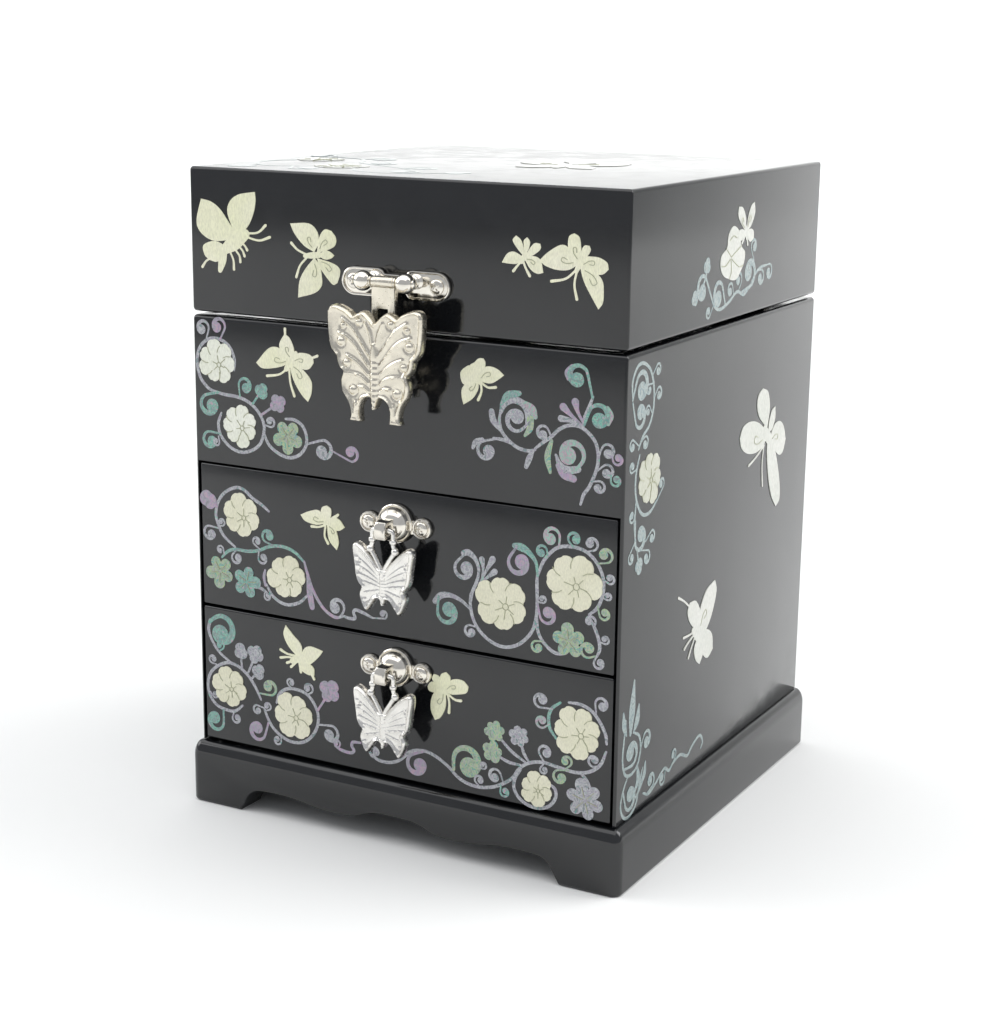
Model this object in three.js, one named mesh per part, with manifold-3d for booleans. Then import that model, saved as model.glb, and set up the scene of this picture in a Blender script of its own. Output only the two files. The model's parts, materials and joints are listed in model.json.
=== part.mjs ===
// Black-lacquer jewellery chest: a deep lift-up lid over a top well, two drawers, a moulded
// plinth, a cast butterfly hasp and two butterfly drawer pulls.
// Millimetres, +Z up, front facing -Y. Heights are measured from the foot of the plinth.

import * as THREE from 'three';
import { mergeVertices } from 'three/addons/utils/BufferGeometryUtils.js';
import Module from 'manifold-3d';

const wasm = await Module();
wasm.setup();

// ---- Driving dimensions -------------------------------------------------------------------

const WIDTH = 160;
const DEPTH = 160;
const CLEAR = 0.3; // gap between pieces that touch or fit into each other

const PLINTH_HEIGHT = 22.3;
const PLINTH_OVERHANG = 3.1;
const PLINTH_BOARD = 12;
const PLINTH_SHOULDER = 5.5; // height of the rounded top edge

const BODY_TOP = 172;
const LID_BOTTOM = 173;
const LID_TOP = 220.7;
const WALL = 8; // carcass sides and back
const SIDE_LIP = 1; // what shows of a side beside the drawer fronts
const FRONT_BOARD = 8; // drawer fronts and the fixed front board
const SEAM = 0.8; // open line around a drawer front
const UPPER_SEAM = 122; // between the fixed front board and the upper drawer
const LOWER_SEAM = 71.6; // between the drawers
const SHELF = 4; // well floor and drawer divider
const BOTTOM_BOARD = 5.4;

const LID_WALL = 7;
const LID_BOARD = 6;
const LINING = 2;
const MIRROR_SIZE = 118;
const CUSHION = { width: 56, height: 17, margin: 0.9 };

const DRAWER_DEPTH = 148; // front face to back face of a drawer box
const DRAWER_WALL = 4;
const DRAWER_FLOOR = 3;
const DRAWER_PLAY = 0.8; // beside, above and below a drawer box
const DRAWER_LINING = 1.2;
const DRAWER_HEADROOM = 4; // how far a drawer box stays below the opening's roof, besides the play

const HASP_AXIS = { out: 7.9, z: 189 }; // out is measured forwards from the front face
const HASP_PLATE_Z = 187.8;
const HASP_SCREW_X = 15.2;
const HASP_BALL_X = 7.65;
const HASP_PIN_LENGTH = 18.4;
const HASP_FACE = 14.8; // the butterfly's front
const HASP_BACK = 11;
const KEEPER_Z = 156;
const KEEPER_SHANK = { radius: 1.2, reach: 5 };

const PULL_AXIS_OUT = 8.8;
const PULL_LUG_X = 9.9;
const PULL_HEIGHTS = { upper: 110.1, lower: 61.6 };
const PULL_FACE = 10.4;
const PULL_BACK = 7.2;

const HINGE_X = 48; // from the middle to the middle of each hinge
const HINGE_AXIS = { behind: 2.7, z: 172.5 };
const HINGE_WIDTH = 24;
const HINGE_LEAF = { thick: 1, tall: 12.5 };
const HINGE_KNUCKLE = 2.3; // radius
const HINGE_PIN = 0.8; // radius
const HINGE_SCREW_X = 7.5; // either side of the hinge's middle
const HINGE_SCREW_INSET = 4.5; // from a leaf's free edge

const COARSE_ROUND = 10; // sides of the thinnest rods
const ROUND = 16;
const FINE_ROUND = 24;
const PAST = 1; // how far a cutting tool reaches past what it cuts

// ---- Derived values -----------------------------------------------------------------------

const halfWidth = WIDTH / 2;
const plinthHalf = halfWidth + PLINTH_OVERHANG;
const plinthFront = -PLINTH_OVERHANG;
const plinthBack = DEPTH + PLINTH_OVERHANG;
const innerHalf = halfWidth - WALL;
const backInside = DEPTH - WALL;
const insideFront = FRONT_BOARD + CLEAR;
const shelfTop = UPPER_SEAM + SHELF;
const dividerTop = LOWER_SEAM + SHELF / 2;
const dividerBottom = LOWER_SEAM - SHELF / 2;
const bottomTop = PLINTH_HEIGHT + CLEAR + BOTTOM_BOARD;
const lidInside = LID_TOP - LID_BOARD;
const hingeAxisY = DEPTH + HINGE_AXIS.behind;
const hingeScrewUp = HINGE_LEAF.tall - HINGE_SCREW_INSET;
// The whole object is centred front to back between the hasp's face and the hinge knuckles.
const originY = (hingeAxisY + HINGE_KNUCKLE - HASP_FACE) / 2;

// ---- Materials ----------------------------------------------------------------------------

function finish(color, roughness, metalness = 0) {
  return () => new THREE.MeshStandardMaterial({ color, roughness, metalness });
}

const lacquer = finish(0x17181a, 0.14);
const wood = finish(0x241d19, 0.55);
const velvet = finish(0x5b0f1a, 0.95);
const nickel = finish(0xd8d2c4, 0.2, 1);
const silverCast = finish(0xd9d4c6, 0.34, 1);
const glass = finish(0xe6ebec, 0.03, 1);

// ---- Solids: making, joining and cutting ------------------------------------------------------

function toManifold(geometry) {
  const bare = geometry.clone();
  bare.deleteAttribute('normal');
  bare.deleteAttribute('uv');
  const merged = mergeVertices(bare, 1e-4);
  const mesh = new wasm.Mesh({
    numProp: 3,
    vertProperties: new Float32Array(merged.attributes.position.array),
    triVerts: new Uint32Array(merged.index.array),
  });
  return new wasm.Manifold(mesh);
}

function toGeometry(manifold) {
  const mesh = manifold.getMesh();
  const geometry = new THREE.BufferGeometry();
  const points = new Float32Array(mesh.vertProperties);
  geometry.setAttribute('position', new THREE.BufferAttribute(points, 3));
  geometry.setIndex(new THREE.BufferAttribute(new Uint32Array(mesh.triVerts), 1));
  geometry.computeVertexNormals();
  return geometry;
}

function join(...geometries) {
  const [first, ...others] = geometries.map(toManifold);
  return toGeometry(others.reduce((sum, next) => sum.add(next), first));
}

function cut(geometry, ...tools) {
  const whole = toManifold(geometry);
  return toGeometry(tools.map(toManifold).reduce((rest, tool) => rest.subtract(tool), whole));
}

// A block between two corners.
function block([x0, x1], [y0, y1], [z0, z1]) {
  const geometry = new THREE.BoxGeometry(x1 - x0, y1 - y0, z1 - z0);
  return geometry.translate((x0 + x1) / 2, (y0 + y1) / 2, (z0 + z1) / 2);
}

// A round bar of one radius between two values along an axis, centred on a point.
function bar(axis, radius, [from, to], centre, sides = ROUND) {
  const geometry = new THREE.CylinderGeometry(radius, radius, to - from, sides);
  geometry.translate(0, (from + to) / 2, 0);
  if (axis === 'x') geometry.rotateZ(-Math.PI / 2);
  if (axis === 'z') geometry.rotateX(Math.PI / 2);
  return geometry.translate(...centre);
}

// A shape drawn as seen from the front, X across and Z up, given thickness along Y.
function frontPlate(shape, yBack, yFront, curveSegments = 6) {
  const options = { depth: yBack - yFront, bevelEnabled: false, curveSegments };
  const geometry = new THREE.ExtrudeGeometry(shape, options);
  return geometry.rotateX(Math.PI / 2).translate(0, yBack, 0);
}

// One half of an outline, mirrored and closed through a smooth curve between sharp corners.
// stretches: lists of [x, z] points; each list is one smooth run and starts where the last ended.
function mirroredShape(stretches) {
  const shape = new THREE.Shape();
  const [startX, startZ] = stretches[0][0];
  shape.moveTo(startX, startZ);
  for (const run of stretches) {
    shape.splineThru(run.slice(1).map(([x, z]) => new THREE.Vector2(x, z)));
  }
  for (const run of [...stretches].reverse()) {
    const back = run.slice(0, -1).reverse();
    shape.splineThru(back.map(([x, z]) => new THREE.Vector2(-x, z)));
  }
  return shape;
}

// A profile of [radius, height] pairs turned about a line along -Y, standing on a front face.
function turnedBoss(profile, x, yBase, z, sides = FINE_ROUND) {
  const points = profile.map(([radius, height]) => new THREE.Vector2(radius, height));
  return new THREE.LatheGeometry(points, sides).rotateX(Math.PI).translate(x, yBase, z);
}

// A half dome as [radius, height] pairs, from the rim to the crown.
function domeProfile(radius, height, base, steps = 5) {
  const arc = Array.from({ length: steps + 1 }, (unused, i) => (i / steps) * (Math.PI / 2));
  const rim = arc.map((angle) => [radius * Math.cos(angle), base + height * Math.sin(angle)]);
  rim[steps][0] = 0;
  return [[0, 0], [radius, 0], ...rim];
}

const chest = new THREE.Group();
chest.position.y = -originY;

function part(name, geometry, material, parent = chest) {
  const mesh = new THREE.Mesh(geometry, material);
  mesh.name = name;
  parent.add(mesh);
  return mesh;
}

// ---- Screws -------------------------------------------------------------------------------

const SCREWS = {
  lug: { head: 2.3, crown: 1, shank: 1.1, reach: 6 },
  leaf: { head: 1.6, crown: 0.7, shank: 0.8, reach: 4.5 },
};

// A pan-head screw whose head rests at height `base` in front of its face, pointing along -Y.
function screwGeometry({ head, crown, shank, reach }, base) {
  const seat = base + CLEAR;
  const profile = [
    [0, -reach], [shank, -reach], [shank, seat], [head, seat],
    [head * 0.9, seat + crown * 0.6], [head * 0.5, seat + crown], [0, seat + crown],
  ];
  const points = profile.map(([radius, height]) => new THREE.Vector2(radius, height));
  return new THREE.LatheGeometry(points, ROUND).rotateX(Math.PI);
}

// The clearance hole for a screw, from its tip out to well above the piece that it holds.
function screwHole({ shank, reach }, x, yFace, z, facing = -1) {
  const tip = reach + CLEAR;
  const above = 5;
  const geometry = new THREE.CylinderGeometry(shank + CLEAR, shank + CLEAR, tip + above, ROUND);
  geometry.translate(0, (tip - above) / 2, 0);
  if (facing > 0) geometry.rotateZ(Math.PI);
  return geometry.translate(x, yFace, z);
}

// ---- Plinth: four mitred boards with a rounded top edge -------------------------------------

function plinthProfile() {
  const shape = new THREE.Shape();
  const top = PLINTH_HEIGHT - CLEAR;
  shape.moveTo(0, 0);
  shape.lineTo(PLINTH_BOARD, 0);
  shape.lineTo(PLINTH_BOARD, top);
  shape.lineTo(PLINTH_OVERHANG, top);
  // from the top down to the outer face
  shape.absellipse(PLINTH_OVERHANG, top - PLINTH_SHOULDER, PLINTH_OVERHANG, PLINTH_SHOULDER,
    Math.PI / 2, Math.PI, false);
  shape.lineTo(0, 0);
  return shape;
}

// The waste beyond a 45 degree mitre at one end of a plinth board.
function mitreWaste(length, side) {
  const wedge = new THREE.Shape();
  const reach = PLINTH_BOARD + 2 * PAST;
  const corner = length / 2 - CLEAR;
  const beyond = length / 2 + PAST;
  wedge.moveTo(side * corner, 0);
  wedge.lineTo(side * (corner - reach), reach);
  wedge.lineTo(side * beyond, reach);
  wedge.lineTo(side * beyond, -PAST);
  wedge.lineTo(side * (corner + PAST), -PAST);
  const options = { depth: PLINTH_HEIGHT + 2 * PAST, bevelEnabled: false };
  return new THREE.ExtrudeGeometry(wedge, options).translate(0, 0, -PAST);
}

// A board along X with its outer face at y = 0 facing -Y, mitred at both ends.
function plinthBoard(length) {
  const options = { depth: length, bevelEnabled: false, curveSegments: 5 };
  const geometry = new THREE.ExtrudeGeometry(plinthProfile(), options);
  // profile across -> Y, profile up -> Z, extrusion -> X
  geometry.applyMatrix4(new THREE.Matrix4().makeBasis(
    new THREE.Vector3(0, 1, 0), new THREE.Vector3(0, 0, 1), new THREE.Vector3(1, 0, 0)));
  geometry.translate(-length / 2, 0, 0);
  return cut(geometry, mitreWaste(length, -1), mitreWaste(length, 1));
}

// The opening under the front board: up from the inside of a foot, down to a lobe, and up again
// to a raised middle. The points are the right half's, from the foot to the middle.
const APRON = [[62.4, -1], [62, 0.8], [60.4, 3.4], [58.6, 6.4], [55.6, 8.4], [51, 9], [44, 9], [38, 8.6],
  [31, 7.5], [25, 7.1], [19, 7.2], [15.2, 7.7], [11, 9.4], [6.5, 10.4], [0, 10.6]];

function apronOpening() {
  const below = -3 * PAST;
  const outline = mirroredShape([APRON]);
  outline.lineTo(-APRON[0][0], below);
  outline.lineTo(APRON[0][0], below);
  outline.lineTo(...APRON[0]);
  return frontPlate(outline, PLINTH_BOARD + 3 * PAST, -3 * PAST, 2);
}

function buildPlinth() {
  const across = 2 * plinthHalf;
  const along = plinthBack - plinthFront;
  const middle = (plinthFront + plinthBack) / 2;
  const front = part('plinth_front', cut(plinthBoard(across), apronOpening()), lacquer());
  front.position.y = plinthFront;
  const back = part('plinth_back', plinthBoard(across), lacquer());
  back.rotation.z = Math.PI;
  back.position.y = plinthBack;
  const left = part('plinth_left', plinthBoard(along), lacquer());
  left.rotation.z = -Math.PI / 2;
  left.position.set(-plinthHalf, middle, 0);
  const right = part('plinth_right', plinthBoard(along), lacquer());
  right.rotation.z = Math.PI / 2;
  right.position.set(plinthHalf, middle, 0);
}

// ---- Carcass --------------------------------------------------------------------------------

// A side with a rebate at its front, so that only a thin lip stands beside the drawer fronts.
function sidePanel(side) {
  const shape = new THREE.Shape();
  const rebate = FRONT_BOARD + CLEAR;
  shape.moveTo(side * halfWidth, 0);
  shape.lineTo(side * halfWidth, DEPTH);
  shape.lineTo(side * innerHalf, DEPTH);
  shape.lineTo(side * innerHalf, rebate);
  shape.lineTo(side * (halfWidth - SIDE_LIP), rebate);
  shape.lineTo(side * (halfWidth - SIDE_LIP), 0);
  const options = { depth: BODY_TOP - PLINTH_HEIGHT, bevelEnabled: false };
  return new THREE.ExtrudeGeometry(shape, options).translate(0, 0, PLINTH_HEIGHT);
}

const insideX = [-innerHalf + CLEAR, innerHalf - CLEAR];
const fixedFrontHalf = halfWidth - SIDE_LIP - CLEAR;

function buildCarcass() {
  part('side_left', sidePanel(-1), lacquer());
  part('side_right', sidePanel(1), lacquer());

  const bodyLeafHoles = hingeScrewSpots(-1).map(([x, z]) => screwHole(SCREWS.leaf, x, DEPTH, z, 1));
  const back = block(insideX, [backInside, DEPTH], [PLINTH_HEIGHT, BODY_TOP]);
  part('back_panel', cut(back, ...bodyLeafHoles), lacquer());

  const keeperSpan = [-PAST, KEEPER_SHANK.reach + CLEAR];
  const keeperHole = bar('y', KEEPER_SHANK.radius + CLEAR, keeperSpan, [0, 0, KEEPER_Z]);
  const frontZ = [UPPER_SEAM + SEAM / 2, BODY_TOP];
  const front = block([-fixedFrontHalf, fixedFrontHalf], [0, FRONT_BOARD], frontZ);
  part('front_panel', cut(front, keeperHole), lacquer());

  const shelfDepth = [insideFront, backInside - CLEAR];
  part('well_floor', block(insideX, shelfDepth, [UPPER_SEAM, shelfTop]), wood());
  part('drawer_divider', block(insideX, shelfDepth, [dividerBottom, dividerTop]), wood());
  part('bottom_board', block(insideX, shelfDepth, [PLINTH_HEIGHT + CLEAR, bottomTop]), wood());
}

function buildWell() {
  const liningTop = shelfTop + CLEAR + LINING;
  const reachX = innerHalf - 2 * CLEAR;
  const reachY = [insideFront + CLEAR, backInside - 2 * CLEAR];
  part('well_lining', block([-reachX, reachX], reachY, [shelfTop + CLEAR, liningTop]), velvet());
  const left = -innerHalf + CUSHION.margin;
  const cushionY = [insideFront + CUSHION.margin, backInside - CUSHION.margin];
  const cushionZ = [liningTop + CLEAR, liningTop + CLEAR + CUSHION.height];
  part('ring_cushion', block([left, left + CUSHION.width], cushionY, cushionZ), velvet());
}

// ---- Lid ------------------------------------------------------------------------------------

function buildLid() {
  const wallZ = [LID_BOTTOM, lidInside - CLEAR];
  part('lid_top', block([-halfWidth, halfWidth], [0, DEPTH], [lidInside, LID_TOP]), lacquer());
  part('lid_left', block([-halfWidth, -halfWidth + LID_WALL], [0, DEPTH], wallZ), lacquer());
  part('lid_right', block([halfWidth - LID_WALL, halfWidth], [0, DEPTH], wallZ), lacquer());

  const between = [-halfWidth + LID_WALL + CLEAR, halfWidth - LID_WALL - CLEAR];
  const haspHoles = [-1, 1].map((side) => screwHole(SCREWS.lug, side * HASP_SCREW_X, 0, HASP_PLATE_Z));
  part('lid_front', cut(block(between, [0, LID_WALL], wallZ), ...haspHoles), lacquer());
  const leafHoles = hingeScrewSpots(1).map(([x, z]) => screwHole(SCREWS.leaf, x, DEPTH, z, 1));
  part('lid_back', cut(block(between, [DEPTH - LID_WALL, DEPTH], wallZ), ...leafHoles), lacquer());

  const liningHalf = halfWidth - LID_WALL - 2 * CLEAR;
  const liningY = [LID_WALL + CLEAR, DEPTH - LID_WALL - CLEAR];
  const liningTop = lidInside - CLEAR;
  const liningBottom = liningTop - LINING;
  const lining = block([-liningHalf, liningHalf], liningY, [liningBottom, liningTop]);
  part('lid_lining', lining, velvet());
  const mirrorY = [(DEPTH - MIRROR_SIZE) / 2, (DEPTH + MIRROR_SIZE) / 2];
  const mirrorZ = [liningBottom - CLEAR - LINING, liningBottom - CLEAR];
  const mirrorX = [-MIRROR_SIZE / 2, MIRROR_SIZE / 2];
  part('lid_mirror', block(mirrorX, mirrorY, mirrorZ), glass());
}

// ---- Drawers --------------------------------------------------------------------------------

// level: the pull's height, the two heights between which the front board stands, and the floor
// and roof of the opening that the drawer box slides in.
function buildDrawer(name, level) {
  const frontZ = [level.bottom, level.top];
  const boxZ = [level.floor + DRAWER_PLAY, level.roof - DRAWER_PLAY - DRAWER_HEADROOM];
  const outer = innerHalf - DRAWER_PLAY;
  const backY = DRAWER_DEPTH;
  const wallY = [FRONT_BOARD + CLEAR, backY];

  const holes = [-1, 1].map((side) => screwHole(SCREWS.lug, side * PULL_LUG_X, 0, level.pull));
  const frontHalf = halfWidth - SIDE_LIP - SEAM;
  const front = block([-frontHalf, frontHalf], [0, FRONT_BOARD], frontZ);
  part(`${name}_front`, cut(front, ...holes), lacquer());
  part(`${name}_left`, block([-outer, -outer + DRAWER_WALL], wallY, boxZ), wood());
  part(`${name}_right`, block([outer - DRAWER_WALL, outer], wallY, boxZ), wood());

  const insideHalf = outer - DRAWER_WALL - CLEAR;
  part(`${name}_back`, block([-insideHalf, insideHalf], [backY - DRAWER_WALL, backY], boxZ), wood());
  const floorY = [FRONT_BOARD + CLEAR, backY - DRAWER_WALL - CLEAR];
  const floorTop = boxZ[0] + DRAWER_FLOOR;
  part(`${name}_bottom`, block([-insideHalf, insideHalf], floorY, [boxZ[0], floorTop]), wood());
  const liningHalf = insideHalf - CLEAR;
  const liningY = [floorY[0] + CLEAR, floorY[1] - CLEAR];
  const liningZ = [floorTop + CLEAR, floorTop + CLEAR + DRAWER_LINING];
  part(`${name}_lining`, block([-liningHalf, liningHalf], liningY, liningZ), velvet());

  buildPull(name, level.pull);
}

// ---- Drawer pulls ---------------------------------------------------------------------------

// Wing outlines hang from the swing axis: x from the middle, z from the axis, downwards negative.
const PULL_WING = [
  [[0, -12.2], [1, -12.6], [3.2, -10.1], [6, -7.2], [8.4, -5.4], [10, -4.9]],
  [[10, -4.9], [11.3, -5.8], [11.4, -8], [10.8, -12], [10.2, -16.4], [9.2, -18.6], [8, -19.6]],
  [[8, -19.6], [8.8, -21.4], [8.7, -23.2], [7.4, -26.4], [6, -27.8]],
  [[6, -27.8], [4.4, -25.8], [2.6, -23.5], [1, -23.2]],
  [[1, -23.2], [0.8, -24.4], [0, -24.9]],
];

const PULL_PLATE = { lug: 3.5, thick: 1.6, bridge: 4.4 };
const PULL_BOSS = { radius: 6.4, height: 6.2, z: 0.6 };
const PULL_EYE_ROOT = 4; // how far behind the axis the eye grows out of the boss
const PULL_EYE = { half: 2.2, out: 11.2, up: 3, down: 3.2, bore: 1.5 };
const BAIL = { bar: 1, x: 3.9, leg: 0.8, knob: 1.3, top: 0.4 };
const BAIL_ROOM = { radius: 3.2, half: 1.4 }; // what each of the bail's legs sweeps past the boss
const ANTENNA = { radius: 0.85, rootX: 0.2, rootZ: -13.4, knobX: 4.6, knobZ: -6.6 };

function pullPlateGeometry() {
  const { lug, thick, bridge } = PULL_PLATE;
  const plateY = [-thick - CLEAR, -CLEAR];
  const lugs = [-1, 1].map((side) => bar('y', lug, plateY, [side * PULL_LUG_X, 0, 0], FINE_ROUND));
  const bridgeBlock = block([-PULL_LUG_X, PULL_LUG_X], plateY, [-bridge / 2, bridge / 2]);
  const boss = turnedBoss(domeProfile(PULL_BOSS.radius, PULL_BOSS.height, 0), 0, -CLEAR, PULL_BOSS.z);
  const { half, out, up, down, bore } = PULL_EYE;
  const eye = block([-half, half], [-out, -PULL_AXIS_OUT + PULL_EYE_ROOT], [-down, up]);
  const throughBore = bar('x', bore, [-half - PAST, half + PAST], [0, -PULL_AXIS_OUT, 0]);
  const legRoom = [-1, 1].map((side) => {
    const span = [side * BAIL.x - BAIL_ROOM.half, side * BAIL.x + BAIL_ROOM.half];
    return bar('x', BAIL_ROOM.radius, span, [0, -PULL_AXIS_OUT, 0]);
  });
  const holes = [-1, 1].map((side) => screwHole(SCREWS.lug, side * PULL_LUG_X, 0, 0));
  return cut(join(...lugs, bridgeBlock, boss, eye), throughBore, ...legRoom, ...holes);
}

// The butterfly with its antennae, which run up into a bail through the eye.
function pullButterflyGeometry() {
  const wings = frontPlate(mirroredShape(PULL_WING), -PULL_BACK, -PULL_FACE, 2);
  const middleY = -(PULL_BACK + PULL_FACE) / 2;
  const { radius, rootX, rootZ, knobX, knobZ } = ANTENNA;
  const antennae = [-1, 1].map((side) => {
    const from = new THREE.Vector3(side * rootX, middleY, rootZ);
    const to = new THREE.Vector3(side * knobX, middleY, knobZ);
    const rod = new THREE.CylinderGeometry(radius, radius, from.distanceTo(to), 8);
    const along = to.clone().sub(from).normalize();
    const turn = new THREE.Quaternion().setFromUnitVectors(new THREE.Vector3(0, 1, 0), along);
    const middle = from.clone().add(to).multiplyScalar(0.5);
    return rod.applyQuaternion(turn).translate(middle.x, middle.y, middle.z);
  });
  const knobs = [-1, 1].map((side) => {
    return new THREE.SphereGeometry(BAIL.knob, 8, 6).translate(side * knobX, middleY, knobZ);
  });
  const legs = [-1, 1].map((side) => {
    return bar('z', BAIL.leg, [knobZ, BAIL.top], [side * BAIL.x, -PULL_AXIS_OUT, 0], COARSE_ROUND);
  });
  const barHalf = BAIL.x + BAIL.leg;
  const topBar = bar('x', BAIL.bar, [-barHalf, barHalf], [0, -PULL_AXIS_OUT, 0], COARSE_ROUND + 2);
  return join(wings, ...antennae, ...knobs, ...legs, topBar);
}

function buildPull(drawer, z) {
  const group = new THREE.Group();
  group.position.z = z;
  chest.add(group);
  part(`${drawer}_pull_plate`, pullPlateGeometry(), nickel(), group);
  part(`${drawer}_pull_butterfly`, pullButterflyGeometry(), silverCast(), group);
  for (const [side, word] of [[-1, 'left'], [1, 'right']]) {
    const geometry = screwGeometry(SCREWS.lug, PULL_PLATE.thick + CLEAR);
    const screw = part(`${drawer}_screw_${word}`, geometry, nickel(), group);
    screw.position.x = side * PULL_LUG_X;
  }
}

// ---- Hasp -----------------------------------------------------------------------------------

const HASP_WING = [
  [[0, -12.1], [1.4, -10.6], [4, -8.7], [6.2, -9.2], [7.9, -10.2]],
  [[7.9, -10.2], [10, -8.6], [13.6, -7.3], [16.2, -7.6], [17.4, -9.4]],
  [[17.4, -9.4], [17.3, -14], [16.6, -19.6], [15.2, -22.2], [14, -23.4]],
  [[14, -23.4], [13.6, -25.6], [12.6, -27.4], [11.5, -28]],
  [[11.5, -28], [12.4, -30.6], [12, -34.4], [9.9, -37.6], [8.9, -40.6], [9, -42.2]],
  [[9, -42.2], [9.3, -43.6], [5.2, -43.7]],
  [[5.2, -43.7], [5.4, -41.6], [5.4, -39], [4, -36.6], [1.6, -35.6]],
  [[1.6, -35.6], [0.9, -37.6], [0, -39.2]],
];

const HASP_PLATE = { lobe: 4.45, thick: 1.6, waist: 5.4, waistHalf: 8, lobeFrom: 7 };
const HASP_BALL = 3.2;
const HASP_POST = 1.7;
const HASP_KNUCKLE = { radius: 1.9, half: 4, bore: 1.3 };
const HASP_PIN = 1;
const STRAP = { half: 4.2, front: 8.6, back: 6.6, top: -0.6, end: -23 };
const STRAP_WINDOW = { half: 1.9, top: -8.2, bottom: -13.6 };
const STRAP_FOOT_TOP = -14.6;

function haspPlateGeometry() {
  const { lobe, thick, waist, waistHalf, lobeFrom } = HASP_PLATE;
  const plateZ = HASP_PLATE_Z - HASP_AXIS.z;
  const plateY = [-thick - CLEAR, -CLEAR];
  const lobes = [-1, 1].map((side) => {
    return bar('y', lobe, plateY, [side * HASP_SCREW_X, 0, plateZ], FINE_ROUND);
  });
  const lobeBlocks = [-1, 1].map((side) => {
    const xs = [side * lobeFrom, side * HASP_SCREW_X].sort((a, b) => a - b);
    return block(xs, plateY, [plateZ - lobe, plateZ + lobe]);
  });
  const waistZ = [plateZ - waist / 2, plateZ + waist / 2];
  const waistBlock = block([-waistHalf, waistHalf], plateY, waistZ);
  const posts = [-1, 1].map((side) => {
    return bar('y', HASP_POST, [-HASP_AXIS.out, -CLEAR], [side * HASP_BALL_X, 0, 0]);
  });
  const balls = [-1, 1].map((side) => {
    const ball = new THREE.SphereGeometry(HASP_BALL, ROUND, COARSE_ROUND);
    return ball.translate(side * HASP_BALL_X, -HASP_AXIS.out, 0);
  });
  const roomHalf = HASP_PIN_LENGTH / 2 + CLEAR;
  const pinRoom = bar('x', HASP_PIN + CLEAR, [-roomHalf, roomHalf], [0, -HASP_AXIS.out, 0]);
  const holes = [-1, 1].map((side) => screwHole(SCREWS.lug, side * HASP_SCREW_X, 0, plateZ));
  return cut(join(...lobes, ...lobeBlocks, waistBlock, ...posts, ...balls), pinRoom, ...holes);
}

// Knuckle, strap with its window, and the cast butterfly standing off in front.
function haspButterflyGeometry() {
  const { half, front, back, top, end } = STRAP;
  const axis = [0, -HASP_AXIS.out, 0];
  const knuckleHalf = HASP_KNUCKLE.half;
  const knuckle = bar('x', HASP_KNUCKLE.radius, [-knuckleHalf, knuckleHalf], axis);
  const strap = block([-half, half], [-front, -back], [end, top]);
  const windowX = [-STRAP_WINDOW.half, STRAP_WINDOW.half];
  const windowZ = [STRAP_WINDOW.bottom, STRAP_WINDOW.top];
  const window = block(windowX, [-front - PAST, -back + PAST], windowZ);
  const foot = block([-half, half], [-HASP_BACK - 0.5, -front + 0.5], [end, STRAP_FOOT_TOP]);
  const wings = frontPlate(mirroredShape(HASP_WING), -HASP_BACK, -HASP_FACE, 2);
  const bore = bar('x', HASP_KNUCKLE.bore, [-knuckleHalf - PAST, knuckleHalf + PAST], axis);
  return cut(join(knuckle, strap, foot, wings), window, bore);
}

// The knob that the closed hasp's butterfly hides.
function keeperGeometry() {
  const { radius, reach } = KEEPER_SHANK;
  const profile = [
    [0, -reach], [radius, -reach], [radius, CLEAR], [4.2, CLEAR], [4.2, 1.3], [2, 2.2],
    [1.9, 7], [2.8, 8], [2.6, 9.6], [1.5, 10.4], [0, 10.5],
  ];
  return turnedBoss(profile, 0, 0, 0);
}

function buildHasp() {
  const group = new THREE.Group();
  group.position.z = HASP_AXIS.z;
  chest.add(group);
  part('hasp_plate', haspPlateGeometry(), nickel(), group);
  const pinSpan = [-HASP_PIN_LENGTH / 2, HASP_PIN_LENGTH / 2];
  part('hasp_pin', bar('x', HASP_PIN, pinSpan, [0, -HASP_AXIS.out, 0]), nickel(), group);
  part('hasp_butterfly', haspButterflyGeometry(), silverCast(), group);
  for (const [side, word] of [[-1, 'left'], [1, 'right']]) {
    const geometry = screwGeometry(SCREWS.lug, HASP_PLATE.thick + CLEAR);
    const screw = part(`hasp_screw_${word}`, geometry, nickel(), group);
    screw.position.set(side * HASP_SCREW_X, 0, HASP_PLATE_Z - HASP_AXIS.z);
  }
  const keeper = part('hasp_keeper', keeperGeometry(), nickel());
  keeper.position.z = KEEPER_Z;
}

// ---- Hinges ---------------------------------------------------------------------------------

// Screw places of both hinges' leaves: up = 1 for the lid's leaves, -1 for the body's.
function hingeScrewSpots(up) {
  const height = HINGE_AXIS.z + up * hingeScrewUp;
  const places = [-1, 1].flatMap((side) => [-1, 1].map((end) => side * HINGE_X + end * HINGE_SCREW_X));
  return places.map((x) => [x, height]);
}

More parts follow.
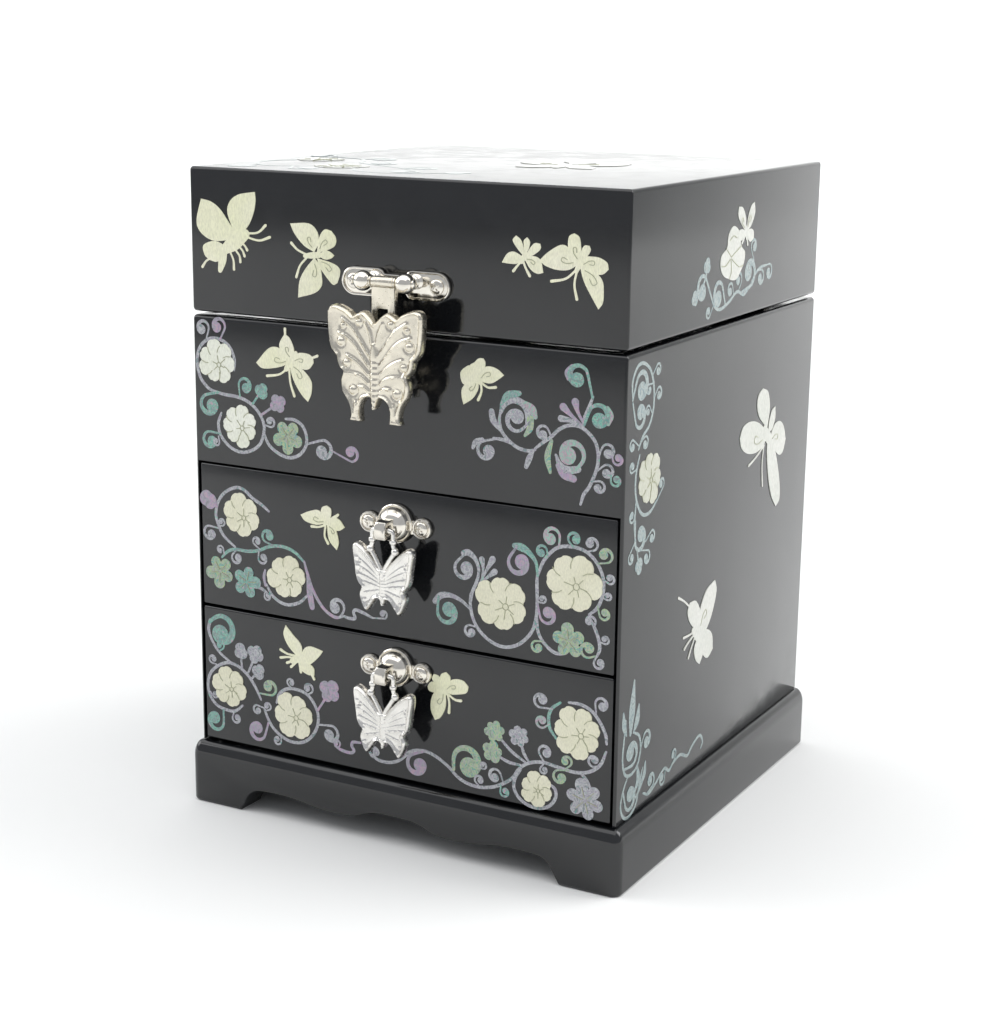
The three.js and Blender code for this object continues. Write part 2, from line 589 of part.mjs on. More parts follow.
// A leaf reaching up (1) or down (-1) from the axis, with its own share of the knuckles.
function hingeLeaf(up, knuckles) {
  const face = -HINGE_AXIS.behind + CLEAR; // y of the leaf's wood side, from the axis
  const leafY = [face, face + HINGE_LEAF.thick];
  const start = HINGE_KNUCKLE + 0.5;
  const leafZ = [up * start, up * HINGE_LEAF.tall].sort((a, b) => a - b);
  const leaf = block([-HINGE_WIDTH / 2, HINGE_WIDTH / 2], leafY, leafZ);
  const tabZ = [0, up * (start + 0.5)].sort((a, b) => a - b);
  const tabs = knuckles.map((span) => block(span, leafY, tabZ));
  const barrels = knuckles.map((span) => bar('x', HINGE_KNUCKLE, span, [0, 0, 0]));
  const bore = bar('x', HINGE_PIN + CLEAR, [-HINGE_WIDTH, HINGE_WIDTH], [0, 0, 0]);
  const holes = [-1, 1].map((end) => {
    const spot = [end * HINGE_SCREW_X, 0, up * hingeScrewUp];
    return bar('y', SCREWS.leaf.shank + CLEAR, [-8, 8], spot);
  });
  return cut(join(leaf, ...tabs, ...barrels), bore, ...holes);
}

function buildHinge(side, word) {
  const group = new THREE.Group();
  group.position.set(side * HINGE_X, hingeAxisY, HINGE_AXIS.z);
  chest.add(group);
  const third = HINGE_WIDTH / 6; // half of the middle knuckle
  const edge = HINGE_WIDTH / 2;
  const lidLeaf = hingeLeaf(1, [[-third + CLEAR, third - CLEAR]]);
  const bodyLeaf = hingeLeaf(-1, [[-edge, -third], [third, edge]]);
  const pin = bar('x', HINGE_PIN, [-edge, edge], [0, 0, 0], COARSE_ROUND + 2);
  part(`hinge_${word}_lid_leaf`, lidLeaf, nickel(), group);
  part(`hinge_${word}_body_leaf`, bodyLeaf, nickel(), group);
  part(`hinge_${word}_pin`, pin, nickel(), group);
  for (const [up, place] of [[1, 'lid'], [-1, 'body']]) {
    for (const [end, hand] of [[-1, 'a'], [1, 'b']]) {
      const geometry = screwGeometry(SCREWS.leaf, HINGE_LEAF.thick + CLEAR).rotateZ(Math.PI);
      const screw = part(`hinge_${word}_${place}_screw_${hand}`, geometry, nickel(), group);
      screw.position.set(end * HINGE_SCREW_X, -HINGE_AXIS.behind, up * hingeScrewUp);
    }
  }
}

// ---- Assembly -------------------------------------------------------------------------------

buildPlinth();
buildCarcass();
buildWell();
buildLid();
buildDrawer('upper_drawer', {
  top: UPPER_SEAM - SEAM / 2,
  bottom: LOWER_SEAM + SEAM / 2,
  roof: UPPER_SEAM,
  floor: dividerTop,
  pull: PULL_HEIGHTS.upper,
});
buildDrawer('lower_drawer', {
  top: LOWER_SEAM - SEAM / 2,
  bottom: PLINTH_HEIGHT + SEAM,
  roof: dividerBottom,
  floor: bottomTop,
  pull: PULL_HEIGHTS.lower,
});
buildHasp();
buildHinge(-1, 'left');
buildHinge(1, 'right');

export default chest;
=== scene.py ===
# Black-lacquer jewellery chest with pearl inlay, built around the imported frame.
# Drawing helpers work in millimetres: x across, out = forwards from the front face, z up.
import json
import math
import random

import bmesh
import bpy
import numpy as np
from mathutils import Matrix, Vector
from mathutils.geometry import delaunay_2d_cdt


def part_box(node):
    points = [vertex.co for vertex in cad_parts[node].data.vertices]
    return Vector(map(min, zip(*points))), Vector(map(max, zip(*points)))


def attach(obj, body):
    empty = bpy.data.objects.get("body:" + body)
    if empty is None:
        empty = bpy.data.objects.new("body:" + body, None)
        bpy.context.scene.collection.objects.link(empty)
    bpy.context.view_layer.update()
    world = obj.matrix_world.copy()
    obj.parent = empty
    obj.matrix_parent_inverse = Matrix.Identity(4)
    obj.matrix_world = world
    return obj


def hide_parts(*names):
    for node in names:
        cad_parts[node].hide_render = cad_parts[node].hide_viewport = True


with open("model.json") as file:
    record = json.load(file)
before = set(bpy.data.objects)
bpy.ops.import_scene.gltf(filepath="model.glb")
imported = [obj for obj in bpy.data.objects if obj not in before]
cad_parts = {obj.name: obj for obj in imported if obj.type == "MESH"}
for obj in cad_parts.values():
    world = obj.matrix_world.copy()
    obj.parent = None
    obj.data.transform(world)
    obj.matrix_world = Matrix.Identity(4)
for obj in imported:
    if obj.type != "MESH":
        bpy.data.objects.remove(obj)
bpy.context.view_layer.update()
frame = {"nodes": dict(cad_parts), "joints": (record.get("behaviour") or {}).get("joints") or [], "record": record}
random.seed(7)

MM = 0.001
TAU = 2 * math.pi
SHARPEST = 0.05  # radius of a corner that counts as sharp

# ---- Places read from the frame -----------------------------------------------------------------


def box_mm(*nodes):
    """Lowest and highest corner of some CAD nodes together, in millimetres."""
    boxes = [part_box(node) for node in nodes]
    low = [min(b[0][axis] for b in boxes) / MM for axis in range(3)]
    high = [max(b[1][axis] for b in boxes) / MM for axis in range(3)]
    return low, high


BODY_LOW, BODY_HIGH = box_mm("side_left", "side_right", "back_panel", "front_panel")
LID_LOW, LID_HIGH = box_mm("lid_top", "lid_left", "lid_right")
PLINTH_LOW, PLINTH_HIGH = box_mm("plinth_front", "plinth_back", "plinth_left", "plinth_right")
FRONT_Y = BODY_LOW[1]
BACK_Y = BODY_HIGH[1]
HALF = BODY_HIGH[0]
BODY_TOP = BODY_HIGH[2]
LID_BOTTOM = LID_LOW[2]
LID_TOP = LID_HIGH[2]
JOINTS = {joint["name"]: joint for joint in frame["joints"]}
DRAWERS = ("upper_drawer", "lower_drawer")


def joint_axis(name):
    """Where a hinge's axis passes: (out, z) in millimetres."""
    x, y, z = (value / MM for value in JOINTS[name]["pos_m"])
    return FRONT_Y - y, z


HASP_OUT, HASP_Z = joint_axis("hasp_swing")
PULL_OUT, _ = joint_axis("upper_pull_swing")


class Face:
    """A flat face to draw on: u and v run along it and n points out of it."""

    def __init__(self, origin, u, v):
        self.origin = Vector(origin)
        self.u = Vector(u)
        self.v = Vector(v)
        self.n = self.u.cross(self.v)

    def at(self, u, v, height):
        return (self.origin + self.u * u + self.v * v + self.n * height) * MM


FRONT = Face((0, FRONT_Y, 0), (1, 0, 0), (0, 0, 1))
RIGHT = Face((HALF, FRONT_Y, 0), (0, 1, 0), (0, 0, 1))
LEFT = Face((-HALF, FRONT_Y, 0), (0, -1, 0), (0, 0, 1))
TOP = Face((0, FRONT_Y, LID_TOP), (1, 0, 0), (0, 1, 0))

ACROSS = Vector((1, 0, 0))
FORWARD = Vector((0, -1, 0))
UP = Vector((0, 0, 1))

# ---- Mesh helpers -------------------------------------------------------------------------------


def finish_mesh(mesh, materials, smooth_angle=40):
    for material in materials:
        mesh.materials.append(material)
    work = bmesh.new()
    work.from_mesh(mesh)
    bmesh.ops.recalc_face_normals(work, faces=work.faces)
    work.to_mesh(mesh)
    work.free()
    mesh.polygons.foreach_set("use_smooth", [True] * len(mesh.polygons))
    mesh.set_sharp_from_angle(angle=math.radians(smooth_angle))
    mesh.update()


def make_object(name, verts, faces, material, body, slot=None, smooth_angle=40):
    """A mesh piece from points in metres that rides on a body."""
    mesh = bpy.data.meshes.new(name)
    mesh.from_pydata([tuple(v) for v in verts], [], faces)
    finish_mesh(mesh, [material], smooth_angle)
    piece = bpy.data.objects.new(name, mesh)
    bpy.context.scene.collection.objects.link(piece)
    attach(piece, body)
    return piece


def loft(loops, capped=True):
    """(verts, faces) between loops of the same number of points."""
    verts = [point for loop in loops for point in loop]
    count = len(loops[0])
    faces = []
    for level in range(len(loops) - 1):
        low = level * count
        high = low + count
        for i in range(count):
            j = (i + 1) % count
            faces.append((low + i, low + j, high + j, high + i))
    if capped:
        faces.append(tuple(reversed(range(count))))
        faces.append(tuple(range(len(verts) - count, len(verts))))
    return verts, faces


def merge(*solids):
    """Several (verts, faces) as one."""
    verts, faces = [], []
    for more_verts, more_faces in solids:
        start = len(verts)
        verts += list(more_verts)
        faces += [tuple(start + i for i in face) for face in more_faces]
    return verts, faces


def rounded_rectangle(x0, x1, y0, y1, radius, steps=5):
    corners = [(x1, y1, 0), (x0, y1, 1), (x0, y0, 2), (x1, y0, 3)]
    points = []
    for x, y, quarter in corners:
        cx = x - math.copysign(radius, x - (x0 + x1) / 2)
        cy = y - math.copysign(radius, y - (y0 + y1) / 2)
        for i in range(steps + 1):
            angle = (quarter + i / steps) * TAU / 4
            points.append((cx + radius * math.cos(angle), cy + radius * math.sin(angle)))
    return points


def rounded_block(x_range, y_range, profile, radius, steps=5):
    """A block with upright corners of one radius; profile lists (z, inset) from bottom to top."""
    loops = []
    for z, inset in profile:
        corner = max(radius - inset, SHARPEST)
        outline = rounded_rectangle(x_range[0] + inset, x_range[1] - inset,
                                    y_range[0] + inset, y_range[1] - inset, corner, steps)
        loops.append([Vector((x, y, z)) * MM for x, y in outline])
    return loft(loops)


def quarter_round(z_from, z_to, inset, steps=5, opening=False):
    """(z, inset) pairs of a rounded edge: the inset grows from z_from to z_to, or shrinks if opening."""
    pairs = []
    for i in range(steps + 1):
        angle = i / steps * TAU / 4
        if opening:
            pairs.append((z_from + (z_to - z_from) * (1 - math.cos(angle)), inset * (1 - math.sin(angle))))
        else:
            pairs.append((z_from + (z_to - z_from) * math.sin(angle), inset * (1 - math.cos(angle))))
    return pairs


def sharp_block(x_range, y_range, z_range):
    return rounded_block(x_range, y_range, [(z_range[0], 0), (z_range[1], 0)], SHARPEST, steps=1)


def applied(piece):
    """Replaces a piece's mesh with what its modifiers make of it."""
    bpy.context.view_layer.update()
    graph = bpy.context.evaluated_depsgraph_get()
    mesh = bpy.data.meshes.new_from_object(piece.evaluated_get(graph))
    piece.modifiers.clear()
    piece.data = mesh
    return mesh


def carve(piece, *solids, operation="DIFFERENCE"):
    """Cuts (verts, faces) solids out of a piece."""
    for verts, faces in solids:
        mesh = bpy.data.meshes.new("cutter")
        mesh.from_pydata([tuple(v) for v in verts], [], faces)
        finish_mesh(mesh, [])
        cutter = bpy.data.objects.new("cutter", mesh)
        bpy.context.scene.collection.objects.link(cutter)
        modifier = piece.modifiers.new("cut", "BOOLEAN")
        modifier.operation = operation
        modifier.solver = "EXACT"
        modifier.object = cutter
        applied(piece)
        bpy.data.objects.remove(cutter)


def bevel(piece, width, segments=2, angle=50):
    """Gives a piece a modifier that rounds its sharp edges."""
    modifier = piece.modifiers.new("soften", "BEVEL")
    modifier.width = width * MM
    modifier.segments = segments
    modifier.limit_method = "ANGLE"
    modifier.angle_limit = math.radians(angle)
    modifier.harden_normals = False


def soften(piece, width, segments=2, angle=50):
    """Rounds a piece's sharp edges in its mesh."""
    bevel(piece, width, segments, angle)
    mesh = applied(piece)
    mesh.polygons.foreach_set("use_smooth", [True] * len(mesh.polygons))
    mesh.set_sharp_from_angle(angle=math.radians(35))


def lathe(profile, centre, axis, sides=40):
    """Turns (radius, height) pairs about an axis through a point, all in millimetres."""
    axis = Vector(axis).normalized()
    across = axis.orthogonal().normalized()
    other = axis.cross(across)
    loops = []
    for radius, height in profile:
        radius = max(radius, 0.01)
        loop = []
        for i in range(sides):
            angle = i / sides * TAU
            offset = across * math.cos(angle) * radius + other * math.sin(angle) * radius
            loop.append((Vector(centre) + axis * height + offset) * MM)
        loops.append(loop)
    return loft(loops)


def spline(points, per_step=8, closed=False):
    """A smooth curve through points of any dimension."""
    points = [np.array(p, float) for p in points]
    count = len(points)
    out = []
    spans = count if closed else count - 1
    for i in range(spans):
        p1, p2 = points[i], points[(i + 1) % count]
        p0 = points[i - 1] if (i > 0 or closed) else 2 * p1 - p2
        p3 = points[(i + 2) % count] if (i + 2 < count or closed) else 2 * p2 - p1
        for k in range(per_step):
            t = k / per_step
            out.append(0.5 * ((2 * p1) + (p2 - p0) * t + (2 * p0 - 5 * p1 + 4 * p2 - p3) * t * t
                              + (3 * p1 - p0 - 3 * p2 + p3) * t ** 3))
    if not closed:
        out.append(points[-1])
    return out


def tube(points, radii, sides=14):
    """A round rod along points in millimetres, with a radius at each."""
    points = [Vector(p) for p in points]
    loops = []
    side = None
    for i, point in enumerate(points):
        ahead = points[min(i + 1, len(points) - 1)] - points[max(i - 1, 0)]
        ahead.normalize()
        side = ahead.orthogonal() if side is None else side - ahead * side.dot(ahead)
        side.normalize()
        other = ahead.cross(side)
        loop = []
        for k in range(sides):
            angle = k / sides * TAU
            loop.append((point + (side * math.cos(angle) + other * math.sin(angle)) * radii[i]) * MM)
        loops.append(loop)
    return loft(loops)


def ball(radius, steps):
    """The profile that turns into a ball in a lathe."""
    return [(radius * math.cos(a), radius * math.sin(a)) for a in np.linspace(-TAU / 4, TAU / 4, steps)]


def place(x, out, z):
    """A point given by its place in front of the chest, in millimetres of the frame."""
    return Vector((x, FRONT_Y - out, z))


# ---- Materials ----------------------------------------------------------------------------------


def new_material(name, colour, roughness, metallic=0.0):
    material = bpy.data.materials.new(name)
    material.use_nodes = True
    shader = material.node_tree.nodes["Principled BSDF"]
    shader.inputs["Base Color"].default_value = (*colour, 1)
    shader.inputs["Roughness"].default_value = roughness
    shader.inputs["Metallic"].default_value = metallic
    return material, material.node_tree, shader


def noise(tree, scale, detail=3.0, distortion=0.0, stretch=None):
    """A noise texture in object space; scale is in features per metre."""
    coords = tree.nodes.new("ShaderNodeTexCoord")
    texture = tree.nodes.new("ShaderNodeTexNoise")
    for socket, value in (("Scale", scale), ("Detail", detail), ("Distortion", distortion)):
        texture.inputs[socket].default_value = value
    vector = coords.outputs["Object"]
    if stretch:
        mapping = tree.nodes.new("ShaderNodeMapping")
        mapping.inputs["Scale"].default_value = stretch
        tree.links.new(vector, mapping.inputs["Vector"])
        vector = mapping.outputs["Vector"]
    tree.links.new(vector, texture.inputs["Vector"])
    return texture


def ramp(tree, source, stops):
    """Colours along a value; each stop is (position, colour) or (position, grey level)."""
    node = tree.nodes.new("ShaderNodeValToRGB")
    elements = node.color_ramp.elements
    while len(elements) < len(stops):
        elements.new(0.5)
    for element, (position, colour) in zip(elements, stops):
        element.position = position
        element.color = (*colour, 1) if isinstance(colour, tuple) else (colour, colour, colour, 1)
    tree.links.new(source, node.inputs["Fac"])
    return node.outputs["Color"]


def paint(tree, shader, socket, texture, stops):
    """Lets a texture drive one of the shader's sockets through colour stops."""
    tree.links.new(ramp(tree, texture.outputs["Fac"], stops), shader.inputs[socket])


def add_bump(tree, shader, layers):
    """layers: (texture, strength, distance in metres), stacked into one normal."""
    normal = None
    for texture, strength, distance in layers:
        bump = tree.nodes.new("ShaderNodeBump")
        bump.inputs["Strength"].default_value = strength
        bump.inputs["Distance"].default_value = distance
        tree.links.new(texture.outputs["Fac"], bump.inputs["Height"])
        if normal is not None:
            tree.links.new(normal, bump.inputs["Normal"])
        normal = bump.outputs["Normal"]
    tree.links.new(normal, shader.inputs["Normal"])


def lacquer_material():
    """Polished black: faint clouds in the tone and gloss, slow waves, and a trace of orange peel."""
    material, tree, shader = new_material("lacquer", (0.0085, 0.009, 0.0105), 0.1)
    shader.inputs["IOR"].default_value = 1.6
    cloud = noise(tree, 38, detail=4)
    blacks = [(0.3, (0.004, 0.0045, 0.0055)), (0.75, (0.008, 0.0085, 0.0095))]
    paint(tree, shader, "Base Color", cloud, blacks)
    haze = noise(tree, 120, detail=6)
    paint(tree, shader, "Roughness", haze, [(0.35, 0.07), (0.8, 0.17)])
    waves = noise(tree, 22, detail=2, stretch=(1, 1, 0.6))
    peel = noise(tree, 900, detail=1)
    add_bump(tree, shader, [(waves, 0.1, 0.0012), (peel, 0.05, 0.00004)])
    return material


def stained_wood_material():
    """Dark stain over a grain that runs from front to back."""
    material, tree, shader = new_material("inside_wood", (0.03, 0.02, 0.015), 0.5)
    grain = noise(tree, 60, detail=6, distortion=0.6, stretch=(6, 0.5, 6))
    paint(tree, shader, "Base Color", grain, [(0.3, (0.012, 0.009, 0.008)), (0.7, (0.04, 0.028, 0.021))])
    add_bump(tree, shader, [(grain, 0.25, 0.0002)])
    return material


def velvet_material():
    """Red pile with a sheen, brushed unevenly."""
    material, tree, shader = new_material("velvet", (0.16, 0.012, 0.02), 0.95)
    shader.inputs["Sheen Weight"].default_value = 0.9
    shader.inputs["Sheen Roughness"].default_value = 0.35
    shader.inputs["Sheen Tint"].default_value = (0.75, 0.16, 0.2, 1)
    pile = noise(tree, 5200, detail=2)
    brushed = noise(tree, 46, detail=3, distortion=0.8)
    paint(tree, shader, "Base Color", brushed, [(0.3, (0.1, 0.006, 0.012)), (0.72, (0.2, 0.018, 0.028))])
    add_bump(tree, shader, [(brushed, 0.2, 0.0008), (pile, 0.5, 0.00012)])
    return material


def metal_material(name, colour, low, high, grain_scale, bump):
    """Plated metal whose roughness drifts between low and high, duller in patches."""
    material, tree, shader = new_material(name, colour, (low + high) / 2, 1.0)
    wear = noise(tree, grain_scale, detail=5)
    paint(tree, shader, "Roughness", wear, [(0.3, low), (0.75, high)])
    patches = noise(tree, 260, detail=2)
    dull = tuple(c * 0.86 for c in colour)
    paint(tree, shader, "Base Color", patches, [(0.3, dull), (0.7, colour)])
    add_bump(tree, shader, [(wear, bump, 0.00005)])
    return material


def mirror_material():
    material, tree, shader = new_material("mirror_glass", (0.86, 0.88, 0.89), 0.02, 1.0)
    smear = noise(tree, 30, detail=2)
    paint(tree, shader, "Roughness", smear, [(0.4, 0.01), (0.8, 0.035)])
    return material


def shell_material(name, stops, scale, distortion):
    """Nacre: colour bands that drift through the shell, under a clear polish."""
    material, tree, shader = new_material(name, stops[0][1], 0.22)
    shader.inputs["Coat Weight"].default_value = 0.6
    shader.inputs["Coat Roughness"].default_value = 0.06
    bands = noise(tree, scale, detail=3, distortion=distortion)
    tone = ramp(tree, bands.outputs["Fac"], stops)
    fine = noise(tree, 2600, detail=2, stretch=(1, 1, 0.35))
    streaks = ramp(tree, fine.outputs["Fac"], [(0.3, 0.82), (0.7, 1.0)])
    mix = tree.nodes.new("ShaderNodeMix")
    mix.data_type = "RGBA"
    mix.blend_type = "MULTIPLY"
    mix.inputs["Factor"].default_value = 1.0
    tree.links.new(tone, mix.inputs["A"])
    tree.links.new(streaks, mix.inputs["B"])
    tree.links.new(mix.outputs["Result"], shader.inputs["Base Color"])
    add_bump(tree, shader, [(bands, 0.15, 0.0002)])
    return material


LACQUER = lacquer_material()
WOOD = stained_wood_material()
VELVET = velvet_material()
NICKEL = metal_material("nickel", (0.86, 0.82, 0.74), 0.07, 0.2, 700, 0.1)
CAST = metal_material("cast_silver", (0.78, 0.73, 0.62), 0.16, 0.32, 900, 0.16)
PULL_CAST = metal_material("pull_silver", (0.86, 0.84, 0.8), 0.16, 0.32, 900, 0.16)
MIRROR = mirror_material()

# ---- Lacquered woodwork -------------------------------------------------------------------------

EDGE = 0.9  # radius of upright corners
GROOVE = 1.5  # rounding of the two edges that meet where the lid closes
LID_ROUND = 1.2  # rounding of the lid's upper edges
LID_WALL = 7.0
BODY_WALL = 8.0
FRONT_BOARD = 8.3
FRONT_LIP = 0.9  # all that shows of the sides beside the drawers
PLINTH_BOARD = 12
HOLLOW_CORNER = 0.6
OVERLAP = 0.2  # how far a shell closes in behind the board that lines it
PAST = 5  # how far a cutter reaches past the face it opens
FRONT_ROUND = 0.7  # rounding of a drawer front's long edges


def lacquer_shell(name, x_range, y_range, profile, radius, body, steps=5):
    solid = rounded_block(x_range, y_range, profile, radius, steps)
    return make_object(name, *solid, LACQUER, body, "lacquer")


def build_lid():
    profile = quarter_round(LID_BOTTOM, LID_BOTTOM + GROOVE, GROOVE, opening=True)
    profile += quarter_round(LID_TOP - LID_ROUND, LID_TOP, LID_ROUND)
    shell = lacquer_shell("lid_shell", (-HALF, HALF), (FRONT_Y, BACK_Y), profile, EDGE, "lid")
    inner = (-HALF + LID_WALL, HALF - LID_WALL)
    inner_y = (FRONT_Y + LID_WALL, BACK_Y - LID_WALL)
    roof = box_mm("lid_lining")[1][2]
    hollow = [(LID_BOTTOM - PAST, 0), (roof + OVERLAP, 0)]
    carve(shell, rounded_block(inner, inner_y, hollow, HOLLOW_CORNER))
    soften(shell, 0.35)
    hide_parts("lid_top", "lid_front", "lid_back", "lid_left", "lid_right")


def build_body():
    """The carcass with its fixed front panel: a well above, and the two drawers' space below."""
    bottom = BODY_LOW[2]
    profile = [(bottom, 0)] + quarter_round(BODY_TOP - GROOVE, BODY_TOP, GROOVE)
    shell = lacquer_shell("carcass_shell", (-HALF, HALF), (FRONT_Y, BACK_Y), profile, EDGE, "cabinet")
    inner = (-HALF + BODY_WALL, HALF - BODY_WALL)
    inner_y = (FRONT_Y + FRONT_BOARD, BACK_Y - BODY_WALL)
    shelf = box_mm("well_floor")[0][2]
    well = rounded_block(inner, inner_y, [(shelf - OVERLAP, 0), (BODY_TOP + PAST, 0)], HOLLOW_CORNER)
    seam = shelf + 0.3
    drawers = sharp_block(inner, inner_y, (bottom - PAST, seam))
    mouth_x = (-HALF + FRONT_LIP, HALF - FRONT_LIP)
    mouth = sharp_block(mouth_x, (FRONT_Y - PAST, FRONT_Y + FRONT_BOARD), (bottom - PAST, seam))
    carve(shell, well, drawers, mouth)
    soften(shell, 0.3)
    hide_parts("side_left", "side_right", "back_panel", "front_panel")


def apron_cutter():
    """The shaped opening under the plinth's front board, as the CAD cuts it."""
    foot_x = 62.4
    half_outline = [(foot_x, -1), (62, 0.8), (60.4, 3.4), (58.6, 6.4), (55.6, 8.4), (51, 9), (44, 9),
                    (38, 8.6), (31, 7.5), (25, 7.1), (19, 7.2), (15.2, 7.7), (11, 9.4), (6.5, 10.4),
                    (0, 10.6)]
    right = [tuple(p) for p in spline(half_outline, 6)]
    left = [(-x, z) for x, z in reversed(right[:-1])]
    outline = [(foot_x, -3)] + right + left + [(-foot_x, -3)]
    depths = (PLINTH_LOW[1] - 3, PLINTH_LOW[1] + PLINTH_BOARD + 3)
    return loft([[Vector((x, y, z)) * MM for x, z in outline] for y in depths])


def build_plinth():
    over = -HALF - PLINTH_LOW[0]
    top = PLINTH_HIGH[2]
    shoulder = 5.5
    profile = quarter_round(0, 1.2, 1.0, opening=True)
    profile += quarter_round(top - shoulder, top, over, steps=9)
    x_range = (PLINTH_LOW[0], PLINTH_HIGH[0])
    y_range = (PLINTH_LOW[1], PLINTH_HIGH[1])
    shell = lacquer_shell("plinth_shell", x_range, y_range, profile, 3.4, "cabinet", steps=7)
    inner_x = (x_range[0] + PLINTH_BOARD, x_range[1] - PLINTH_BOARD)
    inner_y = (y_range[0] + PLINTH_BOARD, y_range[1] - PLINTH_BOARD)
    carve(shell, sharp_block(inner_x, inner_y, (-PAST, top + PAST)), apron_cutter())
    soften(shell, 0.4, angle=60)
    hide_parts("plinth_front", "plinth_back", "plinth_left", "plinth_right")


def build_drawer_front(drawer):
    low, high = box_mm(f"{drawer}_front")
    profile = quarter_round(low[2], low[2] + FRONT_ROUND, FRONT_ROUND, opening=True, steps=3)
    profile += quarter_round(high[2] - FRONT_ROUND, high[2], FRONT_ROUND, steps=3)
    x_range, y_range = (low[0], high[0]), (low[1], high[1])
    front = lacquer_shell(f"{drawer}_lacquer_front", x_range, y_range, profile, 0.5, drawer, steps=3)
    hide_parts(f"{drawer}_front")


# ---- Metal fittings -----------------------------------------------------------------------------

# Outlines hang from the swing axis: x from the middle, z from the axis; each list is one smooth run.
# A dome is its place and radius; a trunk is the body's top, bottom, half width and rise.
PULL_WING = [
    [(0, -12.2), (1, -12.6), (3.2, -10.1), (6, -7.2), (8.4, -5.4), (10, -4.9)],
    [(10, -4.9), (11.3, -5.8), (11.4, -8), (10.8, -12), (10.2, -16.4), (9.2, -18.6), (8, -19.6)],
    [(8, -19.6), (8.8, -21.4), (8.7, -23.2), (7.4, -26.4), (6, -27.8)],
    [(6, -27.8), (4.4, -25.8), (2.6, -23.5), (1, -23.2)],
    [(1, -23.2), (0.8, -24.4), (0, -24.9)],
]
PULL_RIBS = [
    [(1, -15.2), (5, -11.2), (8.6, -7.6)],
    [(1, -16.1), (5.5, -12.6), (9.6, -9.9)],
    [(1, -17), (6, -14.2), (9.8, -12.6)],
    [(1, -18), (6, -16.2), (9.4, -15.4)],
    [(1, -19), (5.5, -18.2), (8, -17.8)],
    [(1, -20), (4, -20.8), (7.3, -21.6)],
    [(1, -21), (3.5, -22.8), (6, -25.4)],
]
PULL_DOMES = [(8.6, -10.9, 0.55), (8.2, -14, 0.5), (6.6, -23.6, 0.6), (4.4, -9.6, 0.5)]
HASP_WING = [
    [(0, -12.1), (1.4, -10.6), (4, -8.7), (6.2, -9.2), (7.9, -10.2)],
    [(7.9, -10.2), (10, -8.6), (13.6, -7.3), (16.2, -7.6), (17.4, -9.4)],
    [(17.4, -9.4), (17.3, -14), (16.6, -19.6), (15.2, -22.2), (14, -23.4)],
    [(14, -23.4), (13.6, -25.6), (12.6, -27.4), (11.5, -28)],
    [(11.5, -28), (12.4, -30.6), (12, -34.4), (9.9, -37.6), (8.9, -40.6), (9, -42.2)],
    [(9, -42.2), (9.3, -43.6), (5.2, -43.7)],
    [(5.2, -43.7), (5.4, -41.6), (5.4, -39), (4, -36.6), (1.6, -35.6)],
    [(1.6, -35.6), (0.9, -37.6), (0, -39.2)],
]
HASP_RIBS = [
    [(0.9, -18.6), (1.6, -15.2), (2.9, -12)],
    [(1.5, -22.4), (3.4, -20), (5.2, -17.4), (8, -14), (11.6, -11.6)],
    [(2, -25.4), (4.4, -22.5), (7, -19.3), (10, -17), (13, -16)],
    [(2.2, -28.2), (4.8, -25.8), (7.5, -24), (10, -23)],
    [(2.2, -31), (4.6, -29.2), (8, -28.4), (11, -28.6)],
    [(2, -33.6), (4, -32.4), (6, -32.6)],
    [(6.9, -37.4), (7.1, -40), (7.2, -42.6)],
]
HASP_DOMES = [(12.4, -18.6, 1.3), (10.4, -25.2, 1.15), (8, -33.6, 1.4), (5.8, -12.2, 1.1),
              (11.6, -13.6, 0.9)]


def mirrored_outline(runs, per_step=5):
    """A closed outline from the smooth runs of its right half, top to bottom."""
    half = []
    for run in runs:
        half += [tuple(point) for point in spline(run, per_step)][:-1]
    half.append(runs[-1][-1])
    return half + [(-x, z) for x, z in reversed(half[1:-1])]


def even_loop(outline, step):
    """The same closed outline with points about a step apart."""
    ring = np.array(list(outline) + [outline[0]], float)
    lengths = np.hypot(*np.diff(ring, axis=0).T)
    along = np.concatenate([[0], np.cumsum(lengths)])
    count = max(12, int(along[-1] / step))
    places = np.linspace(0, along[-1], count, endpoint=False)
    return np.stack([np.interp(places, along, ring[:, axis]) for axis in (0, 1)], axis=1)


def line_distance(points, line, closed=False):
    """How far each point lies from a line of points."""
    line = np.array(line, float)
    starts = line if closed else line[:-1]
    ends = np.roll(line, -1, axis=0) if closed else line[1:]
    best = np.full(len(points), np.inf)
    for a, b in zip(starts, ends):
        span = b - a
        t = np.clip(((points - a) @ span) / max(span @ span, 1e-12), 0, 1)
        best = np.minimum(best, np.hypot(*(points - a - t[:, None] * span).T))
    return best


def inside(points, outline):
    """Which points lie within a closed outline."""
    hits = np.zeros(len(points), bool)
    for (x0, y0), (x1, y1) in zip(outline, np.roll(outline, -1, axis=0)):
        crosses = (y0 > points[:, 1]) != (y1 > points[:, 1])
        reach = (x1 - x0) * (points[:, 1] - y0) / (y1 - y0 + 1e-12) + x0
        hits ^= crosses & (points[:, 0] < reach)
    return hits


